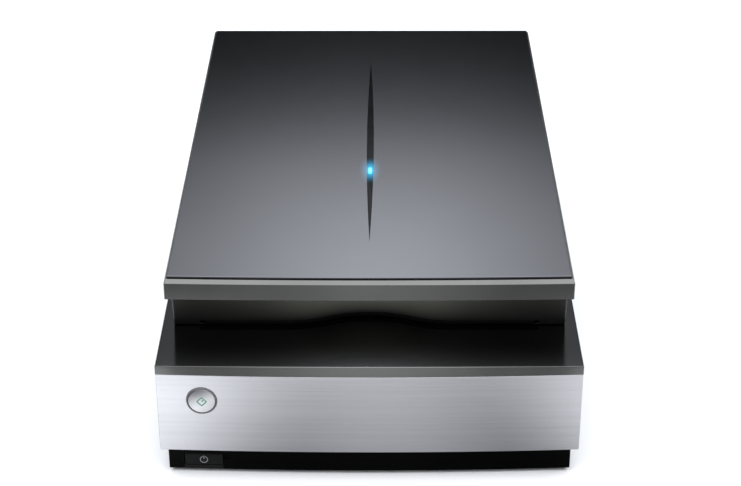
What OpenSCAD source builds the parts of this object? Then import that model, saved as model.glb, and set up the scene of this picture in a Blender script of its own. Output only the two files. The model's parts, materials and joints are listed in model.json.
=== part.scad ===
// A4 film-capable flatbed scanner with a light unit in its lid.
// X to the right, Y to the back, Z up. The origin is on the table, under the middle of the body.

/* [Overall] */
// Width of the base
body_w = 308; // [300:1:320]
// Depth of the base, from the middle of its bowed front to its back
body_d = 503; // [500:1:520]
// Height of the base's top face
base_top = 95.4; // [94:0.2:100]
// Height of the closed lid's top face
lid_top = 152; // [151:0.5:160]
// Width of the lid
lid_w = 295; // [292:1:300]

/* [Base] */
// How far the front panel bows forward at its middle
front_bow = 4; // [2:0.5:6]
// Lower edge of the upper case and of the front panel
case_bottom = 23.2; // [22:0.2:26]
// Upper edge of the front panel
panel_top = 88.4; // [86:0.1:90]
// Wall thickness of the plastic shells
wall = 2.5; // [2:0.1:3]
// Setback of the plinth from the case
plinth_set = 5.5; // [5:0.5:7]
// Height of the rubber feet
foot_h = 3; // [2:0.5:5]
// Start button, distance of its centre from the middle
start_x = -121.2; // [-125:0.5:-115]
// Start button, height of its centre
start_z = 67; // [55:0.5:70]
// Start button, radius of its cap
start_r = 9.4; // [8:0.1:10]

/* [Document glass] */
// Width of the glass
glass_w = 224; // [220:1:230]
// Length of the glass
glass_l = 318; // [310:1:322]
// Thickness of the glass
glass_t = 3; // [2:0.5:4]

/* [Lid] */
// Underside of the lid's slab
slab_bottom = 134.8; // [130:0.2:138]
// Underside of the lid's lower housing
housing_bottom = 96.1; // [96:0.1:98]
// How far the slab's front overhangs the lower housing
lid_overhang = 30; // [25:1:35]
// Radius of the finger scoop's arcs
scoop_r = 80; // [75:1:90]
// Half width of the finger scoop
scoop_half = 62; // [55:1:62]
// Height of the hinge pins
pivot_z = 108.5; // [108:0.5:110]
// Radius of the hinge pins
pin_r = 3; // [2.5:0.1:3.5]
// Distance of each leg's middle from the middle of the lid
leg_x = 98; // [90:1:100]

/* [Hidden] */
half_w = body_w / 2;
y_front = -body_d / 2;
y_back = body_d / 2;
lid_half = lid_w / 2;
lid_front = y_front + 28.7;
lid_bow = 2.3;
housing_front = lid_front + lid_overhang + 2.3;
housing_half = 147;
pivot_y = y_back - 11;
plinth_front = y_front + plinth_set;
plinth_half = half_w - plinth_set;
plinth_back = y_back - 3;
tray_top = 27;
floor_z = foot_h + wall;
top_in = base_top - 2.8;
glass_y = -17.5;
lid_floor = 99.2;
lid_floor_in = lid_floor + wall;
shell_in = 146.4;
rim_z = 150.4;
plate_front = lid_front + 4.3;
plate_half = lid_half - 2.2;
plate_z = 148.4;
run_gap = 0.05;

// Scanning carriage at home
car_half = 118;
car_y = [84.5, 172.5];
// Slit in the carriage's top, which stops under the calibration strip at home
slit_y = car_y[0] + 50;
car_z = [20, 82];
rod_x0 = -130;
rod_z0 = 30;
rod_r = 5;
belt_x = [-146, -140];
belt_z = 40;
pulley_r = 6;
drive_y = 205;
idler_y = -228;
rail_x = 128;

// Film lamp carriage at home
lamp_half = 112;
lamp_y = [150, 190];
lamp_z = [106, 126];
lamp_rod_x = -124;
lamp_rod_z = 112;
lamp_belt_x = [-138, -133];
lamp_belt_z = 126;
lamp_drive_y = 212;
lamp_idler_y = -158;

// ---- Building blocks ----

// Box between two values on each axis
module block(x, y, z) {
    translate([x[0], y[0], z[0]])
        cube([x[1] - x[0], y[1] - y[0], z[1] - z[0]]);
}

// Round bars along each axis; at holds the two other coordinates
module bar_x(x, at, r) {
    translate([x[0], at[0], at[1]])
        rotate([0, 90, 0])
            cylinder(h = x[1] - x[0], r = r, $fn = 64);
}

module bar_y(y, at, r) {
    translate([at[0], y[1], at[1]])
        rotate([90, 0, 0])
            cylinder(h = y[1] - y[0], r = r, $fn = 64);
}

module bar_z(z, at, r) {
    translate([at[0], at[1], z[0]])
        cylinder(h = z[1] - z[0], r = r, $fn = 64);
}

module both_sides() {
    children();
    mirror([1, 0, 0])
        children();
}

// Radius of an arc that rises by bow over a half width
function arc_r(half, bow) = half * half / (2 * bow) + bow / 2;

// Plan outline with straight sides and a front that is one shallow arc
module bowed(half, front, bow, back) {
    r = arc_r(half, bow);
    intersection() {
        translate([-half, front])
            square([2 * half, back - front]);
        translate([0, front + r])
            circle(r = r, $fn = 256);
    }
}

module bowed_slab(half, front, bow, back, z) {
    translate([0, 0, z[0]])
        linear_extrude(height = z[1] - z[0])
            bowed(half, front, bow, back);
}

// Thin plate with a bowed front, as a plain polygon, for the blended lip
module lip_layer(half, front, bow, back, z) {
    steps = 16;
    front_edge = [
        for (i = [0 : steps])
            let (u = 2 * i / steps - 1)
                [half * u, front + bow * u * u]
    ];
    translate([0, 0, z])
        linear_extrude(height = 0.05)
            polygon(concat(front_edge, [[half, back], [-half, back]]));
}

// Close-wound wire spring along Z
module coil(r, wire, turns, length) {
    rings = 14;
    sides = 6;
    steps = turns * rings;
    points = [
        for (i = [0 : steps], j = [0 : sides - 1])
            let (a = 360 * i / rings, b = 360 * j / sides, q = r + wire / 2 * cos(b))
                [q * cos(a), q * sin(a), length * i / steps + wire / 2 * sin(b)]
    ];
    skin = [
        for (i = [0 : steps - 1], j = [0 : sides - 1])
            let (k = (j + 1) % sides)
                [i * sides + j, i * sides + k, (i + 1) * sides + k, (i + 1) * sides + j]
    ];
    first = [[for (j = [sides - 1 : -1 : 0]) j]];
    last = [[for (j = [0 : sides - 1]) steps * sides + j]];
    polyhedron(points = points, faces = concat(first, skin, last), convexity = 10);
}

// Toothed pulley with two flanges, turning about an axis along X
module pulley(x, at, r, shaft_r) {
    difference() {
        union() {
            bar_x(x, at, r - 1);
            bar_x([x[0], x[0] + 0.8], at, r + 1);
            bar_x([x[1] - 0.8, x[1]], at, r + 1);
        }
        bar_x([x[0] - 1, x[1] + 1], at, shaft_r);
    }
}

// Endless belt in a plane across X, around two equal pulleys
module belt_loop(x, y, z, r, t) {
    translate([x[0], 0, z])
        rotate([90, 0, 90])
            linear_extrude(height = x[1] - x[0])
                difference() {
                    belt_outline(y, r + t);
                    belt_outline(y, r);
                }
}

module belt_outline(y, r) {
    translate([y[0], -r])
        square([y[1] - y[0], 2 * r]);
    for (end = y)
        translate([end, 0])
            circle(r = r, $fn = 64);
}

// Round motor whose shaft points along -X; x runs from its front face to its back
module motor(x, at, r, shaft_end, shaft_r) {
    bar_x(x, at, r);
    bar_x([shaft_end, x[0]], at, shaft_r);
    block([x[0] - 1.5, x[0]], [at[0] - r - 4, at[0] + r + 4], [at[1] - r * 0.6, at[1] + r * 0.6]);
}

// Coin-slotted lock on the right-hand wall: head, stem, and a finger that blocks a carriage
module quarter_turn(x_out, x_in, at, head_r, stem_r, finger_l) {
    difference() {
        union() {
            bar_x([x_out - head_t, x_out], at, head_r);
            bar_x([x_in, x_out - head_t], at, stem_r);
            block([x_in, x_in + 6], [at[0] - finger_l, at[0]], [at[1] - 1.5, at[1] + 1.5]);
        }
        block([x_out - 1, x_out + 1], [at[0] - head_r, at[0] + head_r], [at[1] - 0.7, at[1] + 0.7]);
    }
}

// ---- Base: shells ----

// Where screws hold tray and case together
screw_spots = [[-60, -232], [60, -232], [-140, 236], [141.5, 222], [141.5, 30], [141.5, -150]];

foot_spots = [for (x = [-128, 128], y = [-215, 215]) [x, y]];
lock_at = [122, 58];
lock_in = 120;
head_t = 1.5;
usb_x = 0;
inlet_x = 131;
lid_socket_x = -40;
slot_x = -60;

module lower_tray() {
    color([0.07, 0.07, 0.075])
        difference() {
            union() {
                bowed_slab(plinth_half, plinth_front, front_bow, plinth_back, [foot_h, floor_z]);
                difference() {
                    bowed_slab(plinth_half, plinth_front, front_bow, plinth_back, [floor_z, tray_top]);
                    bowed_slab(plinth_half - wall, plinth_front + wall, front_bow,
                        plinth_back - wall, [floor_z, tray_top + 1]);
                }
                for (s = screw_spots)
                    bar_z([floor_z, tray_top], s, 4.2);
                for (y = [rod_ends[0] + 4, rod_ends[1] - 4])
                    block([rod_x0 - 7, rod_x0 + 7], [y - 4, y + 4], [floor_z, clamp_z[0]]);
                block([rail_x - 4, rail_x + 4], [rail_y[0], rail_y[1]], [floor_z, rail_z[0]]);
                for (x = [-60, 0, 60], y = [184, 226])
                    bar_z([floor_z, 32], [x, y], 3);
                for (x = [88, 138], y = [184])
                    bar_z([floor_z, 32], [x, y], 3);
                block([-116, -108], [drive_y - 8, drive_y + 8], [floor_z, belt_z - motor_r]);
                block([-118, -110], [spring_y[1], spring_y[1] + 3], [floor_z, spring_z + 4]);
            }
            for (s = screw_spots) {
                bar_z([foot_h - 1, foot_h + 2.2], s, 3.2);
                bar_z([foot_h, tray_top + 1], s, 1.5);
            }
            power_hole();
            for (spot = foot_spots)
                bar_z([foot_h - 1, foot_h + 1.5], spot, 4);
        }
}

power_x = [-136.7, -108.5];
power_z = [6.4, 15.6];
notch_y = plinth_front + 3.4;

// Turns its children to lie along the bowed plinth at the middle of the power button
module at_power_button() {
    translate([power_mid, power_face, 0])
        rotate([0, 0, asin(power_mid / arc_r(plinth_half, front_bow))])
            children();
}

// Rectangular hole for the power button, and the small notch beside it
module power_hole() {
    block([power_x[0] - 0.4, power_x[1] + 0.4], [plinth_front - 1, plinth_front + 8],
        [power_z[0] - 0.4, power_z[1] + 0.4]);
    block([power_x[1] + 0.4, power_x[1] + 5], [plinth_front - 1, notch_y], [12, power_z[1] + 0.4]);
}

module upper_case() {
    color([0.05, 0.05, 0.055])
        difference() {
            union() {
                difference() {
                    bowed_slab(half_w, y_front + 0.01, front_bow, y_back, [case_bottom, panel_top]);
                    bowed_slab(half_w - wall, y_front + wall + 2, front_bow, y_back - wall,
                        [case_bottom - 1, panel_top + 1]);
                }
                // return flange that closes the gap to the plinth
                difference() {
                    bowed_slab(half_w - 1, y_front + 3, front_bow, y_back - 1,
                        [case_bottom, case_bottom + 2]);
                    bowed_slab(plinth_half + 0.3, plinth_front - 0.3, front_bow, plinth_back + 0.3,
                        [case_bottom - 1, case_bottom + 3]);
                }
                difference() {
                    bowed_slab(half_w, y_front + 4.5, 1.2, y_back, [panel_top - 0.1, base_top]);
                    bowed_slab(half_w - wall, y_front + 8, 1.2, y_back - wall, [panel_top - 1, top_in]);
                }
                front_lip();
                for (s = screw_spots)
                    bar_z([tray_top, top_in + 0.1], s, 4.2);
                for (side = [-1, 1], up = [-1, 1])
                    bar_y([y_front + 4, start_face + 16.4],
                        [start_x + side * 10.5, start_z + up * 12.5], 1.6);
            }
            for (s = screw_spots)
                bar_z([26, 46], s, 1.5);
            // pocket for the front panel
            difference() {
                block([-half_w + 0.4, half_w - 0.4], [y_front - 1, y_front + 9],
                    [case_bottom - 1, panel_top]);
                bowed_slab(half_w, y_front + 2, front_bow, y_back, [case_bottom - 2, panel_top + 2]);
            }
            // scan window
            block([-108, 108], [glass_y - 149, glass_y + 149], [top_in - 1, base_top + 1]);
            both_sides()
                leg_hole(0.3);
            bar_y([y_front - 1, y_front + 12], [start_x, start_z], 11.2);
            // sockets at the back
            block([usb_x - 6.2, usb_x + 6.2], [y_back - 4, y_back + 1], [33.4, 45.2]);
            block([inlet_x - 12.2, inlet_x + 12.2], [y_back - 4, y_back + 1], [33.4, 51.2]);
            block([lid_socket_x - 10.2, lid_socket_x + 10.2], [y_back - 4, y_back + 1], [33.4, 44.2]);
            block([slot_x - 3.5, slot_x + 3.5], [y_back - 4, y_back + 1], [38, 41]);
            bar_x([half_w - 4, half_w + 1], lock_at, 4);
            bar_x([half_w - head_t - 0.1, half_w + 1], lock_at, 8.4);
        }
}

// The lip above the front panel: upright at the corners and leaning back at the middle
module front_lip() {
    hull() {
        lip_layer(half_w, y_front, front_bow, y_front + 11, panel_top);
        lip_layer(half_w, y_front + 2.8, 1.2, y_front + 11, base_top - 0.05);
    }
}

module leg_hole(gap) {
    block([leg_x - 16.4 - gap, leg_x + 16.4 + gap], [pivot_y - 7.4 - gap, pivot_y + 7.4 + gap],
        [top_in - 1, base_top + 1]);
}

module front_panel() {
    color([0.72, 0.73, 0.75])
        difference() {
            intersection() {
                bowed_slab(half_w, y_front, front_bow, y_back, [case_bottom, panel_top]);
                block([-half_w + 0.4, half_w - 0.4], [y_front - 1, y_front + 9],
                    [case_bottom, panel_top]);
            }
            bowed_slab(half_w, y_front + 2, front_bow, y_back, [case_bottom - 1, panel_top + 1]);
            bar_y([y_front - 1, y_front + 12], [start_x, start_z], 11.2);
        }
}

module platen_glass() {
    color([0.75, 0.85, 0.85, 0.5])
        block([-glass_w / 2, glass_w / 2], [glass_y - glass_l / 2, glass_y + glass_l / 2],
            [top_in - glass_t, top_in]);
}

// White reference strip bonded over the glass at its back end
module calibration_strip() {
    color([0.95, 0.95, 0.95])
        block([-glass_w / 2 + 1, glass_w / 2 - 1], [glass_y + 149, glass_y + 158],
            [top_in - glass_t - 0.3, top_in - glass_t]);
}

module rubber_feet() {
    color([0.1, 0.1, 0.1])
        for (spot = foot_spots) {
            bar_z([0, foot_h], spot, 9);
            bar_z([foot_h, foot_h + 1.5], spot, 4);
        }
}

module case_screws() {
    color([0.6, 0.6, 0.62])
        for (s = screw_spots)
            difference() {
                union() {
                    bar_z([foot_h + 0.3, foot_h + 2.2], s, 3);
                    bar_z([foot_h + 2.2, 42], s, 1.5);
                }
                bar_z([foot_h - 1, foot_h + 1.3], s, 1.1);
            }
}

// ---- Base: scanning drive ----

rod_ends = [-226, 182];
clamp_z = [rod_z0 - rod_r - 2, rod_z0 + rod_r + 1.6];
motor_r = 18;
spring_y = [-226.5, -208.5];
spring_z = 12;
rail_y = [-226, 184];
rail_z = [26, 30];

module guide_rod() {
    color([0.75, 0.76, 0.78])
        bar_y(rod_ends, [rod_x0, rod_z0], rod_r);
}

module rod_clamps() {
    color([0.5, 0.5, 0.52])
        for (y = [rod_ends[0] + 4, rod_ends[1] - 4])
            difference() {
                block([rod_x0 - 7, rod_x0 + 7], [y - 4, y + 4], clamp_z);
                bar_y([y - 5, y + 5], [rod_x0, rod_z0], rod_r);
            }
}

module slide_rail() {
    color([0.7, 0.7, 0.72])
        block([rail_x - 4, rail_x + 4], rail_y, rail_z);
}

module scan_motor() {
    color([0.3, 0.3, 0.32])
        motor([-134, -100], [drive_y, belt_z], motor_r, -147.2, 1.5);
}

module drive_pulley() {
    color([0.85, 0.85, 0.8])
        pulley([-147, -139], [drive_y, belt_z], pulley_r, 1.5 + run_gap);
}

module idler_pulley() {
    color([0.85, 0.85, 0.8])
        pulley([-147, -139], [idler_y, belt_z], pulley_r, 1.5 + run_gap);
}

module scan_belt() {
    color([0.08, 0.08, 0.08])
        belt_loop(belt_x, [idler_y, drive_y], belt_z, pulley_r - 1 + run_gap, 1.2);
}

// Bracket that carries the idler's pin, screwed to the tray's floor
module idler_bracket() {
    color([0.55, 0.55, 0.58]) {
        block([-138.6, -137.4], [idler_y - 6, idler_y + 6], [floor_z, belt_z + 5]);
        block([-138.6, -128], [idler_y - 6, spring_y[0]], [floor_z, floor_z + 2]);
        block([-138.6, -110], [idler_y - 2.6, spring_y[0]], [floor_z, floor_z + 2]);
        block([-118, -110], [idler_y - 0.2, spring_y[0]], [floor_z, spring_z + 4]);
        bar_x([-147.3, -138.6], [idler_y, belt_z], 1.5);
    }
}

module idler_spring() {
    color([0.7, 0.7, 0.7])
        translate([-114, spring_y[1] - 0.5, spring_z])
            rotate([90, 0, 0])
                coil(3, 0.9, 9, spring_y[1] - spring_y[0] - 1);
}

module scan_clamp_shape() {
    block([-148.2, -139.4], [car_y[0] + 30, car_y[0] + 50], [belt_z + 2.6, belt_z + 4.6]);
    block([-148.2, -139.4], [car_y[0] + 30, car_y[0] + 50], [belt_z + 6.6, belt_z + 9]);
    block([-139.4, -122], [car_y[0] + 30, car_y[0] + 50], [belt_z + 2.6, belt_z + 9.7]);
}

// ---- Base: electronics ----

module main_board() {
    color([0.1, 0.35, 0.2]) {
        block([-72, 72], [176, y_back - 3], [32, 33.6]);
        for (x = [-50, -20, 12])
            block([x, x + 18], [186, 204], [33.6, 36]);
        for (x = [40, 54])
            bar_z([33.6, 45], [x, 190], 5);
        block([-66, -40], [214, 222], [33.6, 40]);
    }
}

module power_board() {
    color([0.35, 0.28, 0.12]) {
        block([80, 148], [176, 217], [32, 33.6]);
        block([84, 106], [182, 204], [33.6, 56]);
        bar_z([33.6, 58], [122, 194], 9);
        block([134, 144], [184, 212], [33.6, 50]);
    }
}

// Square computer socket with its contact tongue
module computer_socket() {
    color([0.8, 0.8, 0.82])
        difference() {
            block([usb_x - 6, usb_x + 6], [y_back - 16, y_back], [33.6, 45]);
            block([usb_x - 4.4, usb_x + 4.4], [y_back - 9, y_back + 1], [35.4, 43.6]);
        }
    color([0.95, 0.95, 0.95])
        block([usb_x - 2.8, usb_x + 2.8], [y_back - 10, y_back - 5], [37.9, 41.1]);
}

// Mains inlet with three flat pins
module power_inlet() {
    color([0.06, 0.06, 0.06])
        difference() {
            block([inlet_x - 12, inlet_x + 12], [y_back - 20, y_back], [33.6, 51]);
            block([inlet_x - 10, inlet_x + 10], [y_back - 15, y_back + 1], [35.4, 49.2]);
        }
    color([0.8, 0.8, 0.8])
        for (p = [[-6, 39], [0, 44], [6, 39]])
            block([inlet_x + p[0] - 1, inlet_x + p[0] + 1], [y_back - 16, y_back - 6.5],
                [p[1] - 2, p[1] + 2]);
}

module lid_cable_socket() {
    color([0.75, 0.75, 0.78])
        difference() {
            block([lid_socket_x - 10, lid_socket_x + 10], [y_back - 14, y_back], [33.6, 44]);
            block([lid_socket_x - 8.4, lid_socket_x + 8.4], [y_back - 8, y_back + 1], [35, 42.6]);
        }
    color([0.1, 0.1, 0.1])
        block([lid_socket_x - 6.5, lid_socket_x + 6.5], [y_back - 9, y_back - 4.5], [37.8, 39.8]);
}

// Wells that the lid's legs stand in
module leg_sockets() {
    color([0.08, 0.08, 0.08])
        both_sides()
            difference() {
                union() {
                    block([leg_x - 16.4, leg_x + 16.4], [pivot_y - 7.4, pivot_y + 7.4],
                        [44, base_top - 0.2]);
                    block([leg_x - 18, leg_x + 18], [pivot_y - 8.3, pivot_y + 8.3], [top_in - 2, top_in]);
                }
                block([leg_x - 14.4, leg_x + 14.4], [pivot_y - 5.4, pivot_y + 5.4], [46, base_top + 1]);
            }
}

// ---- Base: buttons ----

// Panel surface at the start button, measured at its outer side
start_face = y_front + start_x * start_x / (2 * arc_r(half_w, front_bow));

module start_ring() {
    color([0.3, 0.3, 0.31])
        difference() {
            union() {
                bar_y([start_face - 1, start_face + 8], [start_x, start_z], 11.1);
                bar_y([start_face + 5.2, start_face + 6.9], [start_x, start_z], 13);
            }
            bar_y([start_face - 2, start_face + 9], [start_x, start_z], start_r + 0.3);
        }
}

// Round cap, slightly domed about a flat middle, with a flange and a plunger behind
module start_button() {
    color([0.82, 0.83, 0.85]) {
        intersection() {
            bar_y([start_face - 1.4, start_face + 8.6], [start_x, start_z], start_r);
            translate([start_x, start_face - 1.6 + 60, start_z])
                sphere(r = 60, $fn = 200);
        }
        bar_y([start_face + 8.5, start_face + 10], [start_x, start_z], start_r + 1.6);
        bar_y([start_face + 10, start_face + 12], [start_x, start_z], 2.5);
    }
}

// Diamond outline with a diagonal bar: the mark on the start button
module start_mark() {
    color([0.2, 0.65, 0.35])
        translate([start_x, start_face - 1.4, start_z])
            rotate([90, 0, 0])
                linear_extrude(height = 0.25)
                    union() {
                        difference() {
                            rotate(45)
                                square([6, 6], center = true);
                            rotate(45)
                                square([4.4, 4.4], center = true);
                            translate([0.9, 0.9])
                                square([4, 4]);
                        }
                        rotate(45)
                            translate([0, -0.4])
                                square([3.2, 0.8]);
                    }
}

module start_switch() {
    color([0.1, 0.35, 0.2])
        block([start_x - 12, start_x + 12], [start_face + 16.4, start_face + 18],
            [start_z - 14, start_z + 14]);
    color([0.15, 0.15, 0.15])
        block([start_x - 3, start_x + 3], [start_face + 13.8, start_face + 16.4],
            [start_z - 3, start_z + 3]);
    color([0.1, 0.1, 0.1])
        block([start_x - 3, start_x + 3], [start_face + 18, start_face + 24],
            [start_z + 8, start_z + 12]);
}

power_mid = (power_x[0] + power_x[1]) / 2;
power_half = (power_x[1] - power_x[0]) / 2;
power_face = plinth_front + power_mid * power_mid / (2 * arc_r(plinth_half, front_bow));

module power_button() {
    color([0.12, 0.12, 0.125]) {
        at_power_button()
            block([-power_half, power_half], [0.4, 4.2], power_z);
        block([power_mid - 3, power_mid + 3], [power_face + 4, power_face + 6], [8, 14]);
    }
}

// Broken ring with an upright bar: the standard mark for power
module power_mark() {
    color([0.6, 0.6, 0.6])
        at_power_button()
            translate([0, 0.4, (power_z[0] + power_z[1]) / 2])
                rotate([90, 0, 0])
                    linear_extrude(height = 0.25) {
                        difference() {
                            circle(r = 3, $fn = 48);
                            circle(r = 2.4, $fn = 48);
                            translate([-0.9, 0])
                                square([1.8, 4]);
                        }
                        translate([-0.3, 0.4])
                            square([0.6, 3]);
                    }
}

module power_switch() {
    color([0.15, 0.15, 0.15])
        block([power_mid - 4, power_mid + 4], [power_face + 7.4, power_face + 12], [floor_z, 15]);
}

module transport_lock() {
    color([0.2, 0.2, 0.2])
        quarter_turn(half_w, lock_in, lock_at, 8, 3.5, 8);
}

// ---- Base: carriage ----

module carriage_housing() {
    color([0.12, 0.12, 0.13])
        difference() {
            union() {
                difference() {
                    block([-car_half, car_half], car_y, car_z);
                    block([-car_half + wall, car_half - wall], [car_y[0] + wall, car_y[1] - wall],
                        [car_z[0] + wall, car_z[1] + 1]);
                }
                // wing over the guide rod
                block([-139, -car_half], [car_y[0] + 4, car_y[1] - 4], [49.6, 54]);
                for (y = [car_y[0] + 4, car_y[1] - 20])
                    block([-138.6, -121.4], [y, y + 16], [21.4, 49.6]);
                // foot on the right-hand rail
                block([car_half, rail_x + 3], [car_y[0] + 30, car_y[0] + 58], [30.2, 36]);
                // fork for the transport lock
                for (y = [lock_at[0] - 16.5, lock_at[0] + 10.5])
                    block([car_half, lock_in + 5], [y, y + 6], [62.6, 76]);
                // belt clamp
                scan_clamp_shape();
                // posts for the lens rail
                for (x = [-60, 60])
                    block([x - 4, x + 4], [slit_y - 8, slit_y + 8], [car_z[0] + wall - 0.1, 34]);
                bar_x([-60, 60], [slit_y, 30], 2.5);
            }
            for (y = [car_y[0] + 4, car_y[1] - 20])
                bar_y([y - 1, y + 17], [rod_x0, rod_z0], 7);
        }
}

module carriage_cover() {
    color([0.1, 0.1, 0.11])
        difference() {
            block([-car_half, car_half], car_y, [car_z[1], car_z[1] + 2]);
            block([-106, 106], [slit_y - 4, slit_y + 4], [car_z[1] - 1, car_z[1] + 3]);
        }
}

// Two light bars, one on each side of the slit
module scan_lamp() {
    color([0.95, 0.96, 0.9])
        for (y = [slit_y - 14, slit_y + 6])
            block([-112, 112], [y, y + 8], [car_z[1] + 2, car_z[1] + 5]);
}

// Mirrors that fold the light path to the lenses
module carriage_mirrors() {
    color([0.85, 0.88, 0.9])
        for (m = [[50, 54, -45], [76, 44, -120], [18, 50, -60], [76, 16, -45]])
            translate([0, car_y[0] + m[0], car_z[0] + m[1]])
                rotate([m[2], 0, 0])
                    cube([2 * (car_half - wall), 12, 2.4], center = true);
}

board_y = car_y[0] + wall;

module sensor_board() {
    color([0.1, 0.3, 0.35])
        block([-50, 50], [board_y + 2.4, board_y + 4], [car_z[0] + wall, 70]);
    color([0.1, 0.1, 0.1])
        block([-36, 36], [board_y + 4, board_y + 7], [26, 36]);
    color([0.4, 0.4, 0.4])
        for (x = [-44, 44])
            bar_y([board_y, board_y + 2.4], [x, 60], 2.5);
}

module carriage_bushes() {
    color([0.75, 0.6, 0.35])
        for (y = [car_y[0] + 4, car_y[1] - 20])
            difference() {
                bar_y([y, y + 16], [rod_x0, rod_z0], 7);
                bar_y([y - 1, y + 17], [rod_x0, rod_z0], rod_r + run_gap);
            }
}

lens_x = [0, 24];

module lens_slide() {
    color([0.16, 0.16, 0.17])
        difference() {
            block([-14, 38], [slit_y - 9, slit_y + 9], [25, 47]);
            bar_x([-20, 40], [slit_y, 30], 2.5 + run_gap);
            for (x = lens_x)
                bar_y([slit_y - 10, slit_y + 10], [x, 40.2], 6);
        }
}

module scan_lenses() {
    color([0.55, 0.65, 0.8])
        for (x = lens_x)
            bar_y([slit_y - 10, slit_y + 8], [x, 40.2], 6);
}

// ---- Lid: hinge ----

leg_half = 14;

module lid_legs() {
    color([0.1, 0.1, 0.1])
        both_sides()
            difference() {
                union() {
                    block([leg_x - leg_half, leg_x + leg_half], [pivot_y - 5, pivot_y + 5],
                        [47, pivot_z]);
                    bar_x([leg_x - leg_half, leg_x + leg_half], [pivot_y, pivot_z], 6.5);
                }
                bar_x([leg_x - leg_half - 1, leg_x + leg_half + 1], [pivot_y, pivot_z], pin_r + run_gap);
                block([leg_x - 6.5, leg_x + 6.5], [pivot_y - 8, pivot_y + 8],
                    [pivot_z - 7.5, pivot_z + 8]);
            }
}

module hinge_pins() {
    color([0.7, 0.7, 0.72])
        both_sides()
            bar_x([leg_x - 18, leg_x + 18], [pivot_y, pivot_z], pin_r);
}

// Ears that hold each pin, and the plate that ties them to the shell
module hinge_brackets() {
    color([0.55, 0.55, 0.58])
        both_sides()
            difference() {
                union() {
                    for (x = [leg_x - 17.8, leg_x + 14.8])
                        block([x, x + 3], [pivot_y - 19, pivot_y + 6.5], [pivot_z - 6.5, shell_in]);
                    block([leg_x - 17.8, leg_x + 17.8], [pivot_y - 19, pivot_y - 17],
                        [pivot_z - 6.5, shell_in]);
                    block([leg_x - 17.8, leg_x + 17.8], [pivot_y - 19, pivot_y + 6.5],
                        [shell_in - 2, shell_in]);
                }
                bar_x([leg_x - 19, leg_x + 19], [pivot_y, pivot_z], pin_r);
            }
}

// Counterbalance springs, wound round the middle of each pin
module hinge_springs() {
    color([0.65, 0.65, 0.66])
        both_sides()
            translate([leg_x - 5, pivot_y, pivot_z])
                rotate([0, 90, 0])
                    coil(4.4, 1.3, 6, 10);
}

// ---- Lid: shells ----

module lid_shell() {
    color([0.2, 0.2, 0.215])
        difference() {
            union() {
                bowed_slab(lid_half, lid_front, lid_bow, y_back, [slab_bottom, 147.6]);
                bowed_slab(lid_half - 1, lid_front + 1.7, lid_bow, y_back - 0.6, [147.5, rim_z]);
            }
            bowed_slab(plate_half + 0.3, plate_front - 0.3, lid_bow, y_back - 2, [plate_z, lid_top]);
            bowed_slab(lid_half - wall, lid_front + wall, lid_bow, y_back - wall,
                [slab_bottom + 2, shell_in]);
            block([-housing_half + 4, housing_half - 4], [housing_front + 16, y_back - wall],
                [slab_bottom - 1, slab_bottom + 3]);
            // the plate's middle is open below it, for the light guide
            block([-6, 6], [-60, -30], [shell_in - 1, lid_top]);
        }
}

module lid_top_plate() {
    color([0.12, 0.12, 0.13])
        difference() {
            bowed_slab(plate_half, plate_front, lid_bow, y_back - 2.3, [plate_z, lid_top]);
            translate([0, 0, lid_top - 1.6])
                linear_extrude(height = 3)
                    spindle(window_l / 2 + 0.1, window_w / 2 + 0.1);
            block([-1.6, 1.6], [light_y - 4.6, light_y + 4.6], [plate_z - 1, lid_top]);
        }
}

window_l = 342;
window_w = 5.6;
window_y = 5.5;
light_y = -47;

// Long outline that tapers to a point at both ends
module spindle(half_l, half_width) {
    steps = 40;
    right = [
        for (i = [0 : steps])
            let (u = 2 * i / steps - 1)
                [half_width * (1 - u * u), window_y + half_l * u]
    ];
    left = [
        for (i = [1 : steps - 1])
            let (u = 1 - 2 * i / steps)
                [-half_width * (1 - u * u), window_y + half_l * u]
    ];
    polygon(concat(right, left));
}

module status_window() {
    color([0.02, 0.02, 0.025])
        difference() {
            translate([0, 0, lid_top - 1.6])
                linear_extrude(height = 1.5)
                    spindle(window_l / 2, window_w / 2);
            block([-1.6, 1.6], [light_y - 4.6, light_y + 4.6], [plate_z - 1, lid_top]);
        }
}

module status_light() {
    color([0.35, 0.8, 1])
        block([-1.5, 1.5], [light_y - 4.5, light_y + 4.5], [shell_in - 5, lid_top - 0.1]);
}

// Plan outline of the lid's lower housing, with the finger scoop at the front
module housing_outline(half, front, back, grow) {
    difference() {
        translate([-half, front])
            square([2 * half, back - front]);
        translate([0, grow])
            scoop();
    }
}

scoop_dip = 12.5;
// Centres of the scoop's arcs: one in front of the lid, and one behind each shoulder
scoop_in = housing_front + scoop_dip - scoop_r;
scoop_out = housing_front + scoop_r;
scoop_mid = scoop_half / 2;

module scoop() {
    intersection() {
        translate([0, scoop_in])
            circle(r = scoop_r, $fn = 200);
        translate([-scoop_mid, housing_front - 9])
            square([2 * scoop_mid, scoop_dip + 10]);
    }
    for (side = [-1, 1])
        difference() {
            translate([side < 0 ? -scoop_half : scoop_mid - 0.1, housing_front - 9])
                square([scoop_mid + 0.1, 9 + scoop_dip / 2]);
            translate([side * scoop_half, scoop_out])
                circle(r = scoop_r, $fn = 200);
        }
}

// Side view of the lower housing: its back corner is round about the hinge pins
module housing_side() {
    corner_r = y_back - pivot_y;
    translate([housing_front - 12, housing_bottom])
        square([pivot_y - housing_front + 12, slab_bottom - housing_bottom]);
    translate([pivot_y - 1, pivot_z])
        square([corner_r + 1, slab_bottom - pivot_z]);
    translate([pivot_y, pivot_z])
        circle(r = corner_r, $fn = 96);
}

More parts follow.
